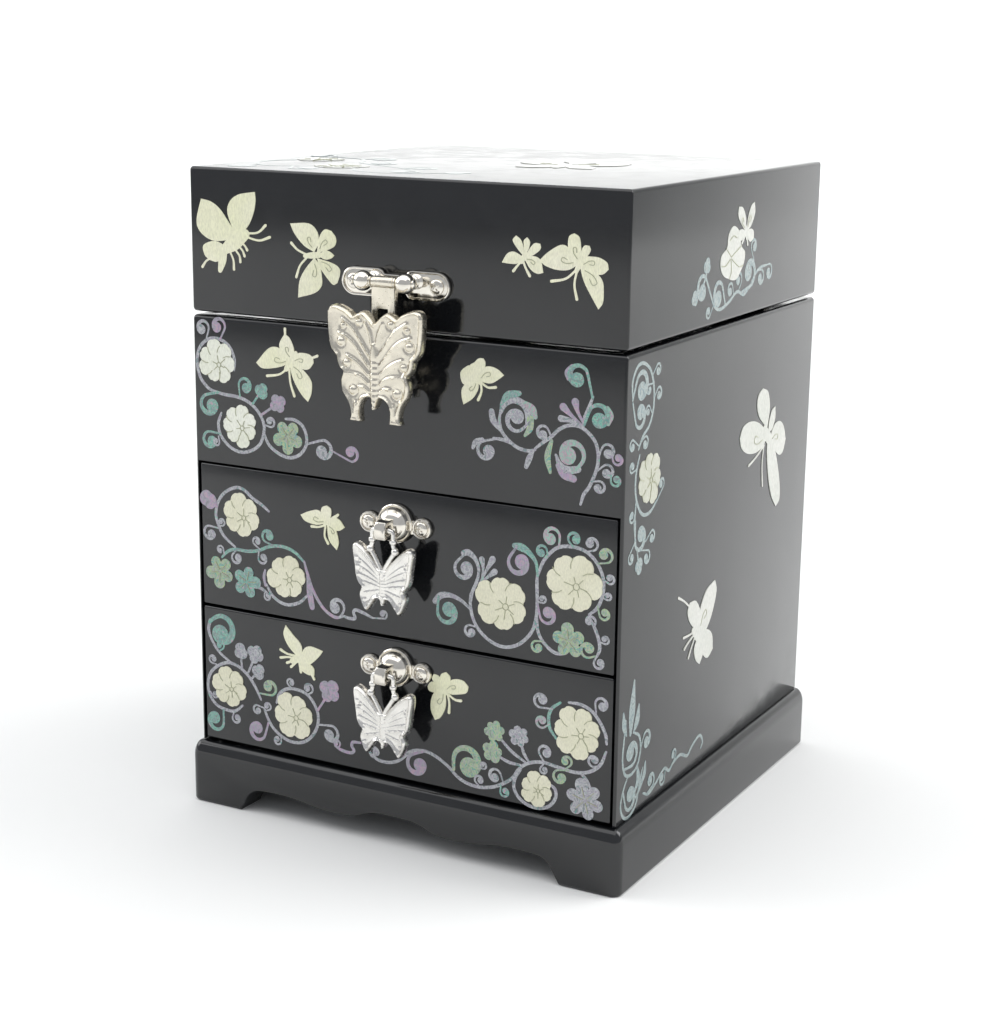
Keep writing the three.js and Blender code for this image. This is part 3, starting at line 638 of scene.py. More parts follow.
def fine_grid(outline, step):
    """An outline's even edge, points that fill it, closer together near the edge, and triangles."""
    edge = even_loop(outline, step)
    ahead = np.roll(edge, -1, axis=0) - np.roll(edge, 1, axis=0)
    inward = np.stack([ahead[:, 1], -ahead[:, 0]], axis=1)
    inward /= np.hypot(*inward.T)[:, None]
    rings = []
    for inset in (0.22, 0.5, 0.85):
        ring = edge + inward * inset
        far = line_distance(ring, edge, closed=True)
        rings.append(ring[(far > inset * 0.93) & inside(ring, edge)])
    xs = np.arange(edge[:, 0].min(), edge[:, 0].max(), step)
    zs = np.arange(edge[:, 1].min(), edge[:, 1].max(), step)
    grid = np.array([(x + (row % 2) * step / 2, z) for row, z in enumerate(zs) for x in xs])
    grid = grid[inside(grid, edge)]
    grid = grid[line_distance(grid, edge, closed=True) > 1.15]
    points = np.concatenate([edge, *rings, grid])
    count = len(edge)
    borders = [(i, (i + 1) % count) for i in range(count)]
    made, _, triangles, *_ = delaunay_2d_cdt([Vector(p) for p in points], borders, [], 0, 1e-6)
    flat = np.array([tuple(v) for v in made])
    middles = np.array([flat[list(face)].mean(axis=0) for face in triangles])
    faces = [face for face, keep in zip(triangles, inside(middles, edge)) if keep]
    return edge, flat, faces


def relief(flat, edge, ribs, domes, trunk, field, rib_width):
    """Heights of a cast butterfly's face: a field with a beaded edge, ribs, domes and a ringed body."""
    bead_rise, bead_inset, bead_width = 0.75, 0.8, 0.5
    edge_drop, edge_width = 1.2, 0.7
    rim = line_distance(flat, edge, closed=True)
    x, z = np.abs(flat[:, 0]), flat[:, 1]
    height = np.full(len(flat), field)
    height += bead_rise * np.exp(-(((rim - bead_inset) / bead_width) ** 2))
    height -= edge_drop * np.clip(1 - rim / edge_width, 0, 1) ** 2
    mirrored = np.stack([x, z], axis=1)
    calm = np.clip((rim - 0.9) / 0.8, 0, 1)  # nothing is raised on the bead itself
    for rib in ribs:
        away = line_distance(mirrored, spline(rib, 5))
        height += calm * 1.6 * rib_width * np.exp(-((away / rib_width) ** 2))
    for dome_x, dome_z, radius in domes:
        away = np.hypot(x - dome_x, z - dome_z) / radius
        height += calm * 0.6 * radius * np.sqrt(np.clip(1 - away ** 2, 0, 1))
        height -= calm * 0.3 * np.exp(-(((away - 1.25) / 0.3) ** 2))
    top, bottom, width, rise = trunk
    along = np.clip((z - bottom) / (top - bottom), 0, 1)
    girth = width * np.sqrt(np.clip(np.sin(np.pi * np.clip(along * 0.94 + 0.06, 0, 1)), 0, 1))
    girth *= 1 + 0.25 * (along > 0.72)
    across = np.sqrt(np.clip(1 - (x / np.maximum(girth, 0.01)) ** 2, 0, 1))
    rings_on_tail = 0.86 + 0.14 * np.cos(z * TAU / (1.1 * width)) * (along < 0.74)
    return np.maximum(height, (field - 0.2 + rise * rings_on_tail * across) * (across > 0))


def cast_butterfly(wing, axis_out, axis_z, back, step, **relief_shape):
    """(verts, faces) of a cast butterfly with its flat back standing `back` out of the front."""
    edge, flat, faces = fine_grid(mirrored_outline(wing), step)
    height = relief(flat, edge, **relief_shape)
    count = len(flat)
    face_side = [place(x, back + rise, axis_z + z) * MM for (x, z), rise in zip(flat, height)]
    back_side = [place(x, back, axis_z + z) * MM for x, z in flat]
    edges = [(start, face[(i + 1) % len(face)]) for face in faces for i, start in enumerate(face)]
    both_ways = set(edges)
    rims = [(start, end) for start, end in edges if (end, start) not in both_ways]
    walls = [(end, start, start + count, end + count) for start, end in rims]
    backs = [tuple(i + count for i in reversed(face)) for face in faces]
    return face_side + back_side, [tuple(face) for face in faces] + backs + walls


def slab(outline, out_from, out_to, z_from, rim):
    """A plate with a softened front edge; outline points are (x, z)."""
    edge = [Vector(p) for p in outline]
    middle = sum(edge, Vector((0, 0))) / len(edge)
    turning = sum((edge[i] - middle).cross(edge[(i + 1) % len(edge)] - middle) for i in range(len(edge)))
    sign = 1 if turning > 0 else -1

    def inset(amount):
        moved = []
        for i, point in enumerate(edge):
            ahead = (edge[(i + 1) % len(edge)] - edge[i - 1]).normalized()
            moved.append(point + Vector((-ahead.y, ahead.x)) * amount * sign)
        return moved

    levels = [(0, out_from), (0, out_to - rim), (rim * 0.3, out_to - rim * 0.3), (rim, out_to)]
    loops = [[place(p.x, out, p.y + z_from) * MM for p in inset(amount)] for amount, out in levels]
    return loft(loops)


def screw(node, body, centre, facing, head, crown, spin):
    """A pan-head screw with a cross recess; centre is under its head, facing is 1 forwards or -1 back."""
    slot_depth, slot_half = 0.55, 0.26
    axis = Vector((0, -facing, 0))
    rounding = [(head * math.cos(a), crown * (0.25 + 0.75 * math.sin(a))) for a in np.linspace(0, 1.35, 7)]
    profile = [(head * 0.94, 0), (head, crown * 0.25)] + rounding[1:] + [(0, crown)]
    piece = make_object(f"{node}_head", *lathe(profile, centre, axis, 28), NICKEL, body, "nickel")
    for quarter in (0, 1):
        angle = spin + quarter * TAU / 4
        across = Vector((math.cos(angle), 0, math.sin(angle)))
        along = Vector((-across.z, 0, across.x))
        loops = []
        for depth, reach in ((crown - slot_depth, head * 0.3), (crown + 0.4, head * 0.62)):
            middle = centre + axis * depth
            corners = ((-reach, -slot_half), (reach, -slot_half), (reach, slot_half), (-reach, slot_half))
            loops.append([(middle + across * a + along * b) * MM for a, b in corners])
        carve(piece, loft(loops))
    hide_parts(node)


def arc_points(cx, cz, radius, start, end, steps):
    angles = np.radians(np.linspace(start, end, steps))
    return [(cx + radius * math.cos(a), cz + radius * math.sin(a)) for a in angles]


def tube_ring(points, radius, sides=8):
    """A closed bead along a loop of points in millimetres on a plate's face."""
    loops = []
    for i, point in enumerate(points):
        ahead = (points[(i + 1) % len(points)] - points[i - 1]).normalized()
        across = ahead.cross(FORWARD)
        loop = []
        for k in range(sides):
            angle = k / sides * TAU
            loop.append((point + (across * math.cos(angle) + FORWARD * math.sin(angle)) * radius) * MM)
        loops.append(loop)
    return loft(loops + [loops[0]], capped=False)


def build_hasp_plate():
    """The waisted plate on the lid: a screw at each end, and two balls that hold the swing pin."""
    lobe = 4.45
    lug_x = box_mm("hasp_plate")[1][0] - lobe
    screw_low, screw_high = box_mm("hasp_screw_left")
    plate_z = screw_low[2] / 2 + screw_high[2] / 2
    plate_back, plate_face = 0.3, 1.2
    shoulder_x, waist_x, waist = 6.2, 4.2, 2.7
    shoulder = [(shoulder_x, lobe), (shoulder_x - 1.2, lobe - 0.5), (waist_x, waist)]
    outline = arc_points(lug_x, 0, lobe, -90, 90, 24)
    outline += shoulder + [(-x, z) for x, z in reversed(shoulder)]
    outline += arc_points(-lug_x, 0, lobe, 90, 270, 24)
    outline += [(-x, -z) for x, z in shoulder] + [(x, -z) for x, z in reversed(shoulder)]
    rim = [place(x * 0.985, plate_face + 0.05, z * 0.93 + plate_z) for x, z in even_loop(outline, 0.8)]
    parts = [slab(outline, plate_back, plate_face, plate_z, 0.3), tube_ring(rim, 0.42)]
    ball_x, ball_radius, post_out = 7.65, 3.2, 1.0
    post = [(2.5, 0), (2.5, 0.4), (1.9, 0.9), (1.5, 1.3), (2, 1.7), (2, 2.1), (1.4, 2.6), (1.8, 3.1),
            (1.5, 5)]
    collar = [(1.2, 2.9), (1.9, 3.1), (1.9, 3.4), (1.2, 3.6)]
    cap = [(0.9, 2.8), (1.5, 3.1), (1.5, 3.5), (0.9, 3.9), (0.5, 4.0)]
    for side in (-1, 1):
        middle = place(side * ball_x, HASP_OUT, HASP_Z)
        parts.append(lathe(post, place(side * ball_x, post_out, HASP_Z), FORWARD, 28))
        parts.append(lathe(ball(ball_radius, 17), middle, ACROSS, 36))
        parts.append(lathe(collar, middle, Vector((-side, 0, 0)), 24))
        parts.append(lathe(cap, middle, Vector((side, 0, 0)), 24))
    piece = make_object("hasp_plate_cast", *merge(*parts), NICKEL, "lid", "nickel")
    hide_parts("hasp_plate", "hasp_pin")
    for word, side in (("left", -1), ("right", 1)):
        centre = place(side * lug_x, plate_face, plate_z)
        spin = 0.2 + side * 0.3
        screw(f"hasp_screw_{word}", "lid", centre, facing=1, head=2.5, crown=1.3, spin=spin)


def build_hasp_butterfly():
    """The cast butterfly and the strap behind it that turns on the pin."""
    back = 11.0
    wings = cast_butterfly(HASP_WING, HASP_OUT, HASP_Z, back, step=0.42, ribs=HASP_RIBS, domes=HASP_DOMES,
                           trunk=(-18.2, -38, 1.6, 1.5), field=2.55, rib_width=0.42)
    half, front, rear, end = 4.2, HASP_OUT + 0.7, HASP_OUT - 1.3, -23
    barrel = [(1.5, -4), (1.8, -3.8), (1.8, 3.8), (1.5, 4)]
    knuckle = lathe(barrel, place(0, HASP_OUT, HASP_Z), ACROSS, 32)
    strap = slab(rounded_rectangle(-half, half, end, -0.6, 0.8, 4), rear, front, HASP_Z, 0.3)
    foot_outline = rounded_rectangle(-half, half, end, -14.6, 0.8, 4)
    foot = slab(foot_outline, front - 0.4, back + 0.4, HASP_Z, 0.1)
    piece = make_object("hasp_butterfly_cast", *wings, CAST, "hasp", "cast_silver", 75)
    window_y = (FRONT_Y - front - 3, FRONT_Y - rear + 3)
    window = sharp_block((-1.9, 1.9), window_y, (HASP_Z - 13.6, HASP_Z - 8.2))
    holder = make_object("hasp_strap", *strap, CAST, "hasp", "cast_silver")
    carve(holder, window)
    carve(holder, foot, knuckle, operation="UNION")
    soften(holder, 0.2)
    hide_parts("hasp_butterfly")


def build_pull_rose(drawer, axis_z):
    """What is fixed to the drawer: the plate with its boss and screws, and the eye for the swing."""
    lug_x, lug, bar, ring_radius = 9.9, 3.5, 2.4, 3.05
    plate_back, plate_face = 0.3, 1.3
    outline = arc_points(lug_x, 0, lug, -140, 140, 26) + [(6, bar), (-6, bar)]
    outline += arc_points(-lug_x, 0, lug, 40, 320, 26) + [(-6, -bar), (6, -bar)]
    parts = [slab(outline, plate_back, plate_face, axis_z, 0.3)]
    turn = np.linspace(0, TAU, 30, endpoint=False)
    for side in (-1, 1):
        ring = [(side * lug_x + ring_radius * math.cos(a), axis_z + ring_radius * math.sin(a)) for a in turn]
        parts.append(tube_ring([place(x, plate_face, z) for x, z in ring], 0.42))
    boss = [(6.5, 0.3), (6.6, 1), (6.4, 1.7), (6.1, 1.9), (5.9, 1.7), (5.7, 2)]
    boss += [(5.6 * math.cos(a), 2 + 4.2 * math.sin(a)) for a in np.linspace(0.15, TAU / 4, 10)]
    parts.append(lathe(boss, place(0, 0, axis_z + 0.6), FORWARD, 44))
    piece = make_object(f"{drawer}_pull_rose", *merge(*parts), NICKEL, drawer, "nickel")
    half, bore = 2.0, 1.45
    tab = [(4, -2.2), (8, -3.2), (10.4, -2.9), (11.2, -1.8), (11.2, 1.4), (10.2, 2.8), (8.6, 3), (4, 3.2)]
    loops = [[place(x, out, axis_z + z) * MM for out, z in tab] for x in (-half, half)]
    eye = make_object(f"{drawer}_pull_eye", *loft(loops), NICKEL, drawer, "nickel")
    carve(eye, lathe([(bore, -4), (bore, 4)], place(0, PULL_OUT, axis_z), ACROSS, 28))
    soften(eye, 0.35, 3)
    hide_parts(f"{drawer}_pull_plate")
    for word, side in (("left", -1), ("right", 1)):
        centre = place(side * lug_x, plate_face, axis_z)
        spin = 0.5 + side * 0.4
        screw(f"{drawer}_screw_{word}", drawer, centre, facing=1, head=2.4, crown=1.3, spin=spin)


def build_pull_butterfly(drawer, axis_z):
    """What swings: the cast butterfly, its feelers with a ball at each end, and the legs of its bail."""
    body = drawer.replace("drawer", "pull")
    back = 7.2
    wings = cast_butterfly(PULL_WING, PULL_OUT, axis_z, back, step=0.36, ribs=PULL_RIBS, domes=PULL_DOMES,
                           trunk=(-12.6, -24.8, 0.95, 1.15), field=2.0, rib_width=0.22)
    middle = back + 1.6
    leg_x = 3.9
    knob = (4.6, middle, -6.6)
    feeler = [(0.2, middle, -14), (1.4, middle, -11.6), (3, middle, -9), knob]
    leg = [knob, (leg_x, PULL_OUT, -4.6), (leg_x, PULL_OUT, -1), (leg_x - 0.3, PULL_OUT, -0.2),
           (leg_x - 1, PULL_OUT, 0), (0, PULL_OUT, 0)]
    collar = [(0.8, -0.9), (1.25, -0.5), (1.25, 0.5), (0.8, 0.9)]

    def spot(side, x, out, z):
        return place(side * x, out, axis_z + z)

    rods = []
    for side in (-1, 1):
        rods.append(tube([spot(side, *point) for point in feeler], [0.9, 0.85, 0.8, 0.85]))
        rods.append(lathe(ball(1.35, 9), spot(side, *knob), UP, 20))
        rods.append(tube([spot(side, *point) for point in leg], [0.8, 0.8, 0.8, 0.85, 0.95, 0.95]))
        rods.append(lathe(collar, spot(side, leg_x, PULL_OUT, -3.4), UP, 20))
    solid = merge(wings, *rods)
    cast = make_object(f"{body}_butterfly_cast", *solid, PULL_CAST, body, "cast_silver", 75)
    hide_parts(f"{drawer}_pull_butterfly")


def build_hinge_screws():
    for word in ("left", "right"):
        for leaf, body in (("lid", "lid"), ("body", "cabinet")):
            for hand in "ab":
                node = f"hinge_{word}_{leaf}_screw_{hand}"
                low, high = box_mm(node)
                centre = Vector(((low[0] + high[0]) / 2, high[1] - 0.7, (low[2] + high[2]) / 2))
                screw(node, body, centre, facing=-1, head=1.6, crown=0.75, spin=0.6)


# ---- Inside: linings, ring cushion, mirror, keeper ----------------------------------------------


def build_lining(node, body, edge):
    """A board covered in velvet, its edges rounded by the cloth that turns over them."""
    low, high = box_mm(node)
    soft = min(edge, (high[2] - low[2]) / 2.2)
    profile = quarter_round(low[2], low[2] + soft, soft, opening=True, steps=3)
    profile += quarter_round(high[2] - soft, high[2], soft, steps=4)
    solid = rounded_block((low[0], high[0]), (low[1], high[1]), profile, 1.6)
    lining = make_object(f"{node}_velvet", *solid, VELVET, body, "velvet", 60)
    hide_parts(node)


def ring_roll(x_range, y_middle, half_width, z_range, flare):
    """One roll of the cushion: round on top, nipped in at the foot, domed at both ends."""
    loops = []
    end = 5.0
    foot, flank = 0.86, 0.98  # shares of the half width at the foot and above it
    stations = [0.0, 0.25, 0.6, 1.0]
    places = [(x_range[0] + end * (1 - math.cos(t * TAU / 4)), math.sin(t * TAU / 4)) for t in stations]
    places += [(x_range[0] + x_range[1] - x, size) for x, size in reversed(places)]
    height = z_range[1] - z_range[0]
    crown = min(half_width * 1.05, height)
    for x, size in places:
        half = half_width * (0.55 + 0.45 * size)
        top = height * (0.62 + 0.38 * size) + flare * math.sin(x * 0.21)
        outline = [(-half * foot, 0.0), (-half * flank, (top - crown) * 0.5)]
        for i in range(11):
            angle = TAU / 2 * (1 - i / 10)
            outline.append((half * math.cos(angle), top - crown + crown * math.sin(angle)))
        outline += [(half * flank, (top - crown) * 0.5), (half * foot, 0.0)]
        loops.append([Vector((x, y_middle + y, z_range[0] + z)) * MM for y, z in outline])
    return loft(loops)


def build_ring_cushion():
    """Rolls that rings are pushed between, all in one velvet cover over a thin base."""
    low, high = box_mm("ring_cushion")
    rolls = 11
    base_top = low[2] + 2.5
    base_profile = quarter_round(low[2], low[2] + 0.8, 0.8, opening=True, steps=2)
    base_profile += [(base_top, 0), (base_top + 0.6, 0.8)]
    base_x, base_y = (low[0] + 0.6, high[0] - 0.6), (low[1] + 0.6, high[1] - 0.6)
    solids = [rounded_block(base_x, base_y, base_profile, 3)]
    roll_x = (low[0] + 0.4, high[0] - 0.4)
    pitch = (high[1] - low[1] - 1) / rolls
    for i in range(rolls):
        middle = low[1] + 0.5 + pitch * (i + 0.5)
        top = high[2] - 0.4 - random.uniform(0, 0.5)
        flare = random.uniform(-0.25, 0.25)
        solids.append(ring_roll(roll_x, middle, pitch / 2 - 0.05, (low[2] + 1.2, top), flare))
    cushion = make_object("ring_cushion_rolls", *merge(*solids), VELVET, "cabinet", "velvet", 70)
    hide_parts("ring_cushion")


def build_mirror():
    low, high = box_mm("lid_mirror")
    slope = 5.0
    profile = [(low[2], slope), (high[2] - 0.7, 0.15), (high[2] - 0.55, 0), (high[2], 0)]
    solid = rounded_block((low[0], high[0]), (low[1], high[1]), profile, slope + 0.6)
    mirror = make_object("mirror_bevelled", *solid, MIRROR, "lid", "mirror_glass", 1)
    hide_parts("lid_mirror")


def build_keeper():
    """The knob that the hasp's butterfly hides."""
    low, high = box_mm("hasp_keeper")
    middle_z = (low[2] + high[2]) / 2
    profile = [(0, -5), (1.2, -5), (1.2, 0.3), (4.0, 0.3), (4.2, 0.5), (4.2, 1.1), (3.9, 1.4), (2.4, 2.0),
               (1.95, 3.0), (1.9, 7), (2.6, 7.8), (2.8, 8.4), (2.6, 9.4), (1.8, 10.2), (0.9, 10.45),
               (0, 10.5)]
    solid = lathe(profile, (0, FRONT_Y, middle_z), FORWARD)
    keeper = make_object("keeper_knob", *solid, NICKEL, "cabinet", "nickel")
    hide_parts("hasp_keeper")


def build_inside():
    build_lining("well_lining", "cabinet", 0.8)
    build_lining("lid_lining", "lid", 0.8)
    for drawer in DRAWERS:
        build_lining(f"{drawer}_lining", drawer, 0.5)
    build_ring_cushion()
    build_mirror()
    build_keeper()


# ---- Shell inlay --------------------------------------------------------------------------------

VINE_HEIGHT = 0.05
PEARL_HEIGHT = 0.12
ENGRAVED_HEIGHT = 0.21
LAYER = 0.0012  # every piece lies this much higher than the one drawn before it, so none share a plane
BURIED = -0.03  # how deep every piece reaches under the lacquer
VINE_WIDTH = 1.15


BAND_SCALE = 430


def shell_set():
    """Shell colours: each drifts between its own hue and silver through the piece."""
    silver, pale, dusk = (0.34, 0.35, 0.37), (0.5, 0.52, 0.53), (0.22, 0.22, 0.25)
    lilac, violet, pink = (0.31, 0.28, 0.35), (0.36, 0.25, 0.42), (0.48, 0.33, 0.4)
    teal, sea, green, lime = (0.1, 0.34, 0.29), (0.24, 0.5, 0.38), (0.26, 0.43, 0.24), (0.42, 0.52, 0.26)
    blue, slate, frost, moss = (0.14, 0.21, 0.22), (0.2, 0.28, 0.28), (0.28, 0.35, 0.34), (0.15, 0.2, 0.19)
    mixes = {
        "silver": [(0.26, teal), (0.36, dusk), (0.44, silver), (0.5, pale), (0.56, lilac), (0.64, silver),
                   (0.74, sea)],
        "lilac": [(0.28, dusk), (0.4, lilac), (0.48, silver), (0.56, violet), (0.62, pink), (0.72, silver)],
        "teal": [(0.28, silver), (0.38, teal), (0.46, dusk), (0.52, sea), (0.6, teal), (0.66, pink),
                 (0.74, silver)],
        "green": [(0.3, dusk), (0.4, green), (0.47, silver), (0.54, lime), (0.62, teal), (0.72, silver)],
        "rose": [(0.28, dusk), (0.38, pink), (0.47, silver), (0.54, sea), (0.62, pink), (0.72, lilac)],
        # side: a darker, greyer-green copy of the abalone for the side and top panels; the darkening is painted
        # shade
        "side": [(0.3, blue), (0.44, slate), (0.54, frost), (0.66, moss)],
    }
    made = {name: shell_material(f"abalone_{name}", stops, BAND_SCALE, 1.8) for name, stops in mixes.items()}
    pearls = {
        "pearl": ((0.84, 0.84, 0.58), (0.89, 0.87, 0.68)),
        "white_pearl": ((0.8, 0.82, 0.68), (0.87, 0.88, 0.78)),
        "warm_pearl": ((0.76, 0.74, 0.55), (0.82, 0.8, 0.62)),
        # the two copies below are the pearl and white pearl made darker for the side and top panels: painted shade
        "side_pearl": ((0.48, 0.49, 0.37), (0.55, 0.55, 0.44)),
        "side_white": ((0.6, 0.61, 0.54), (0.68, 0.68, 0.62)),
    }
    for name, (first, second) in pearls.items():
        made[name] = shell_material(name, [(0.35, first), (0.7, second)], 70, 0.4)
    made["engraved"], _, _ = new_material("engraved_line", (0.36, 0.37, 0.24), 0.5)
    return made


SHELLS = shell_set()


def unit(du, dv):
    length = math.hypot(du, dv) or 1
    return du / length, dv / length


class Inlay:
    """Thin shell pieces let into one face; every piece is drawn in that face's own millimetres."""

    def __init__(self, name, face, body, shell="silver", mirrored=False):
        self.name = name
        self.face = face
        self.body = body
        self.shell = shell
        self.side = -1 if mirrored else 1
        self.solids = {}
        self.count = 0

    def add(self, shell, loops):
        """Stores one closed solid, in the panel's own shell where no other is given."""
        self.count += 1
        self.solids.setdefault(shell or self.shell, []).append(loft(loops))

    def levels(self, height):
        """Where the next piece starts and ends, measured out of the face."""
        return BURIED, height + LAYER * self.count

    def at(self, u, v, level):
        return self.face.at(self.side * u, v, level)

    def plate(self, outline, shell, height):
        self.add(shell, [[self.at(u, v, level) for u, v in outline] for level in self.levels(height)])

    def stroke(self, line, widths, shell=None, height=VINE_HEIGHT, per_step=5):
        """A smooth ribbon with round ends through points, with a width at each."""
        if np.isscalar(widths):
            widths = [widths] * len(line)
        points = [(u, v, w) for (u, v), w in zip(line, widths)]
        path = [tuple(point) for point in spline(points, per_step)]
        stations = []
        for i, (u, v, w) in enumerate(path):
            ahead, behind = path[min(i + 1, len(path) - 1)], path[max(i - 1, 0)]
            stations.append((u, v, w / 2, *unit(ahead[0] - behind[0], ahead[1] - behind[1])))
        ends = []
        for (u, v, half, du, dv), way in ((stations[0], -1), (stations[-1], 1)):
            angles = (math.radians(a) for a in (35, 65, 85))
            ends.append([(u + way * du * half * math.sin(a), v + way * dv * half * math.sin(a),
                          half * math.cos(a), du, dv) for a in angles])
        low, high = self.levels(height)
        loops = []
        for u, v, half, du, dv in ends[0][::-1] + stations + ends[1]:
            left, right = (u - dv * half, v + du * half), (u + dv * half, v - du * half)
            corners = ((left, low), (right, low), (right, high), (left, high))
            loops.append([self.at(*point, level) for point, level in corners])
        self.add(shell, loops)

    def vine(self, line, shell=None, width=VINE_WIDTH):
        self.stroke(line, [width * 0.7] + [width] * (len(line) - 2) + [width * 0.7], shell)

    def curl(self, u, v, radius, from_u, from_v, turn, shell=None):
        """A comma: a stem leaves a vine, runs round a circle and swells into a round head inside it."""
        wound, head_turn = math.radians(225), math.radians(243)
        stem = max(0.65, 0.26 * radius)
        neck = 0.62 * radius
        reach = radius - stem / 2
        gap = max(math.hypot(from_u - u, from_v - v), 0.01)
        first = math.atan2(from_v - v, from_u - u) + turn * math.acos(min(1, reach / gap))
        line, widths = [(from_u, from_v)], [stem * 0.8]
        steps = 7
        for i in range(steps + 1):
            t = i / steps
            width = stem + (neck - stem) * t ** 1.3
            angle = first + turn * t * wound
            distance = radius - width / 2
            line.append((u + distance * math.cos(angle), v + distance * math.sin(angle)))
            widths.append(width)
        self.stroke(line, widths, shell, per_step=4)
        angle = first + turn * head_turn
        head_u, head_v = u + 0.37 * radius * math.cos(angle), v + 0.37 * radius * math.sin(angle)
        self.disc(head_u, head_v, neck, shell)

    def disc(self, u, v, radius, shell):
        ring = np.linspace(0, TAU, 24, endpoint=False)
        self.plate([(u + radius * math.cos(a), v + radius * math.sin(a)) for a in ring], shell, VINE_HEIGHT)

    def lobes(self, u, v, radius, count, angle, depth, shell, height, split=0.0):
        """A scalloped disc; split puts a small nick in the middle of every lobe."""
        points = 14
        sizes = [random.uniform(0.88, 1.08) for _ in range(count)]
        outline = []
        for i in range(count * points):
            share = (i % points + 0.5) / points
            bulge = 1 - depth + depth * math.sin(math.pi * share) ** 0.5
            nick = 1 - split * math.exp(-((share - 0.5) / 0.07) ** 2)
            r = radius * sizes[i // points] * bulge * nick
            a = angle + (i + 0.5) / (count * points) * TAU
            outline.append((u + r * math.cos(a), v + r * math.sin(a)))
        self.plate(outline, shell, height)

    def bud(self, u, v, radius, from_u, from_v, count, shell=None):
        """A small lobed flower on a stem."""
        self.stroke([(from_u, from_v), ((from_u + u) / 2, (from_v + v) / 2), (u, v)], 0.85, shell)
        outward = math.atan2(v - from_v, u - from_u)
        self.lobes(u, v, radius, count, outward + math.pi / count, 0.36, shell, VINE_HEIGHT)

    def leaf(self, u, v, radius, angle, count, shell=None):
        """A deeply lobed leaf with an engraved vein along each lobe."""
        first = math.radians(angle)
        self.lobes(u, v, radius, count, first, 0.55, shell, VINE_HEIGHT)
        for i in range(count):
            a = first + (i + 0.5) / count * TAU
            inner, outer = 0.12 * radius, 0.62 * radius
            self.engrave([(u + inner * math.cos(a), v + inner * math.sin(a)),
                          (u + outer * math.cos(a), v + outer * math.sin(a))], 0.2)

    def flower(self, u, v, radius, count, angle=0.3, shell="pearl"):
        """An open blossom: broad nicked petals, a line between each, and an off-centre heart."""
        self.lobes(u, v, radius, count, angle, 0.24, shell, PEARL_HEIGHT, 0.045)
        heart_u, heart_v = u + 0.14 * radius, v - 0.1 * radius
        for i in range(count):
            a = angle + i / count * TAU
            self.engrave([(u + r * radius * math.cos(a + b), v + r * radius * math.sin(a + b))
                          for r, b in ((0.8, 0), (0.62, 0.12), (0.46, 0.16))], 0.24)
        for i in range(6):
            a = angle + (i + 0.3) / 6 * TAU
            reach = random.uniform(0.3, 0.44)
            self.engrave([(heart_u + r * radius * math.cos(a), heart_v + r * radius * math.sin(a))
                          for r in (0.14, reach)])
        self.engrave([(heart_u + 0.11 * radius * math.cos(a), heart_v + 0.11 * radius * math.sin(a))
                      for a in np.linspace(0, TAU, 7)])

    def blossom(self, outline, lines, shell):
        """A blossom with its own outline and petal lines."""
        self.plate([tuple(p) for p in spline(outline, 4, closed=True)], shell, PEARL_HEIGHT)
        for line in lines:
            self.engrave(line, 0.26)

    def engrave(self, line, width=0.24):
        self.stroke(line, width, "engraved", ENGRAVED_HEIGHT, 3)

    def wing(self, root, left, tip, right, shell, veined):
        """A wing bounded by two curves that meet at its root and its tip."""
        edges = [tuple(p) for p in spline([root] + left + [tip], 4)][:-1]
        edges += [tuple(p) for p in spline([tip] + right + [root], 4)][:-1]
        self.plate(edges, shell, PEARL_HEIGHT)
        if not veined:
            return
        middle_u = sum(p[0] for p in left + right) / len(left + right)
        middle_v = sum(p[1] for p in left + right) / len(left + right)
        du, dv = middle_u - root[0], middle_v - root[1]
        loop = []
        for along, aside in ((0.3, 0.03), (0.62, 0.16), (0.9, 0.12), (0.86, -0.06), (0.62, -0.02)):
            loop.append((root[0] + du * along - dv * aside, root[1] + dv * along + du * aside))
        self.engrave(loop, 0.22)

    def butterfly(self, wings, bodies, feelers, shell="pearl"):
        for wing in wings:
            root, left, tip, right = wing[:4]
            self.wing(root, left, tip, right, shell, PLAIN not in wing)
        for head, tail, width in bodies:
            middle = ((head[0] + tail[0]) / 2, (head[1] + tail[1]) / 2)
            self.stroke([head, middle, tail], [width * 0.7, width, width * 0.6], shell, PEARL_HEIGHT)
        for feeler in feelers:
            self.stroke(feeler, [0.7] * (len(feeler) - 1) + [0.95], shell, PEARL_HEIGHT)

    def build(self):
        for shell, solids in self.solids.items():
            make_object(f"{self.name}_{shell}", *merge(*solids), SHELLS[shell], self.body, smooth_angle=30)


# Each panel lists what is let into it; a piece that names no shell has the panel's own. Vines: the
# line. Curls: centre, radius, where the stem leaves the vine, which way it winds. Buds: centre,
# radius, where the stem starts, lobes. Leaves: centre, radius, angle, lobes. Plumes: a ribbon with a
# width at each point. Flowers: centre, radius, petals, angle. Blossoms: outline, petal lines.
# Butterflies: wings, bodies, then feelers and legs; a wing is its root, one edge, its tip and the
# other edge, and has an engraved vein unless PLAIN follows.

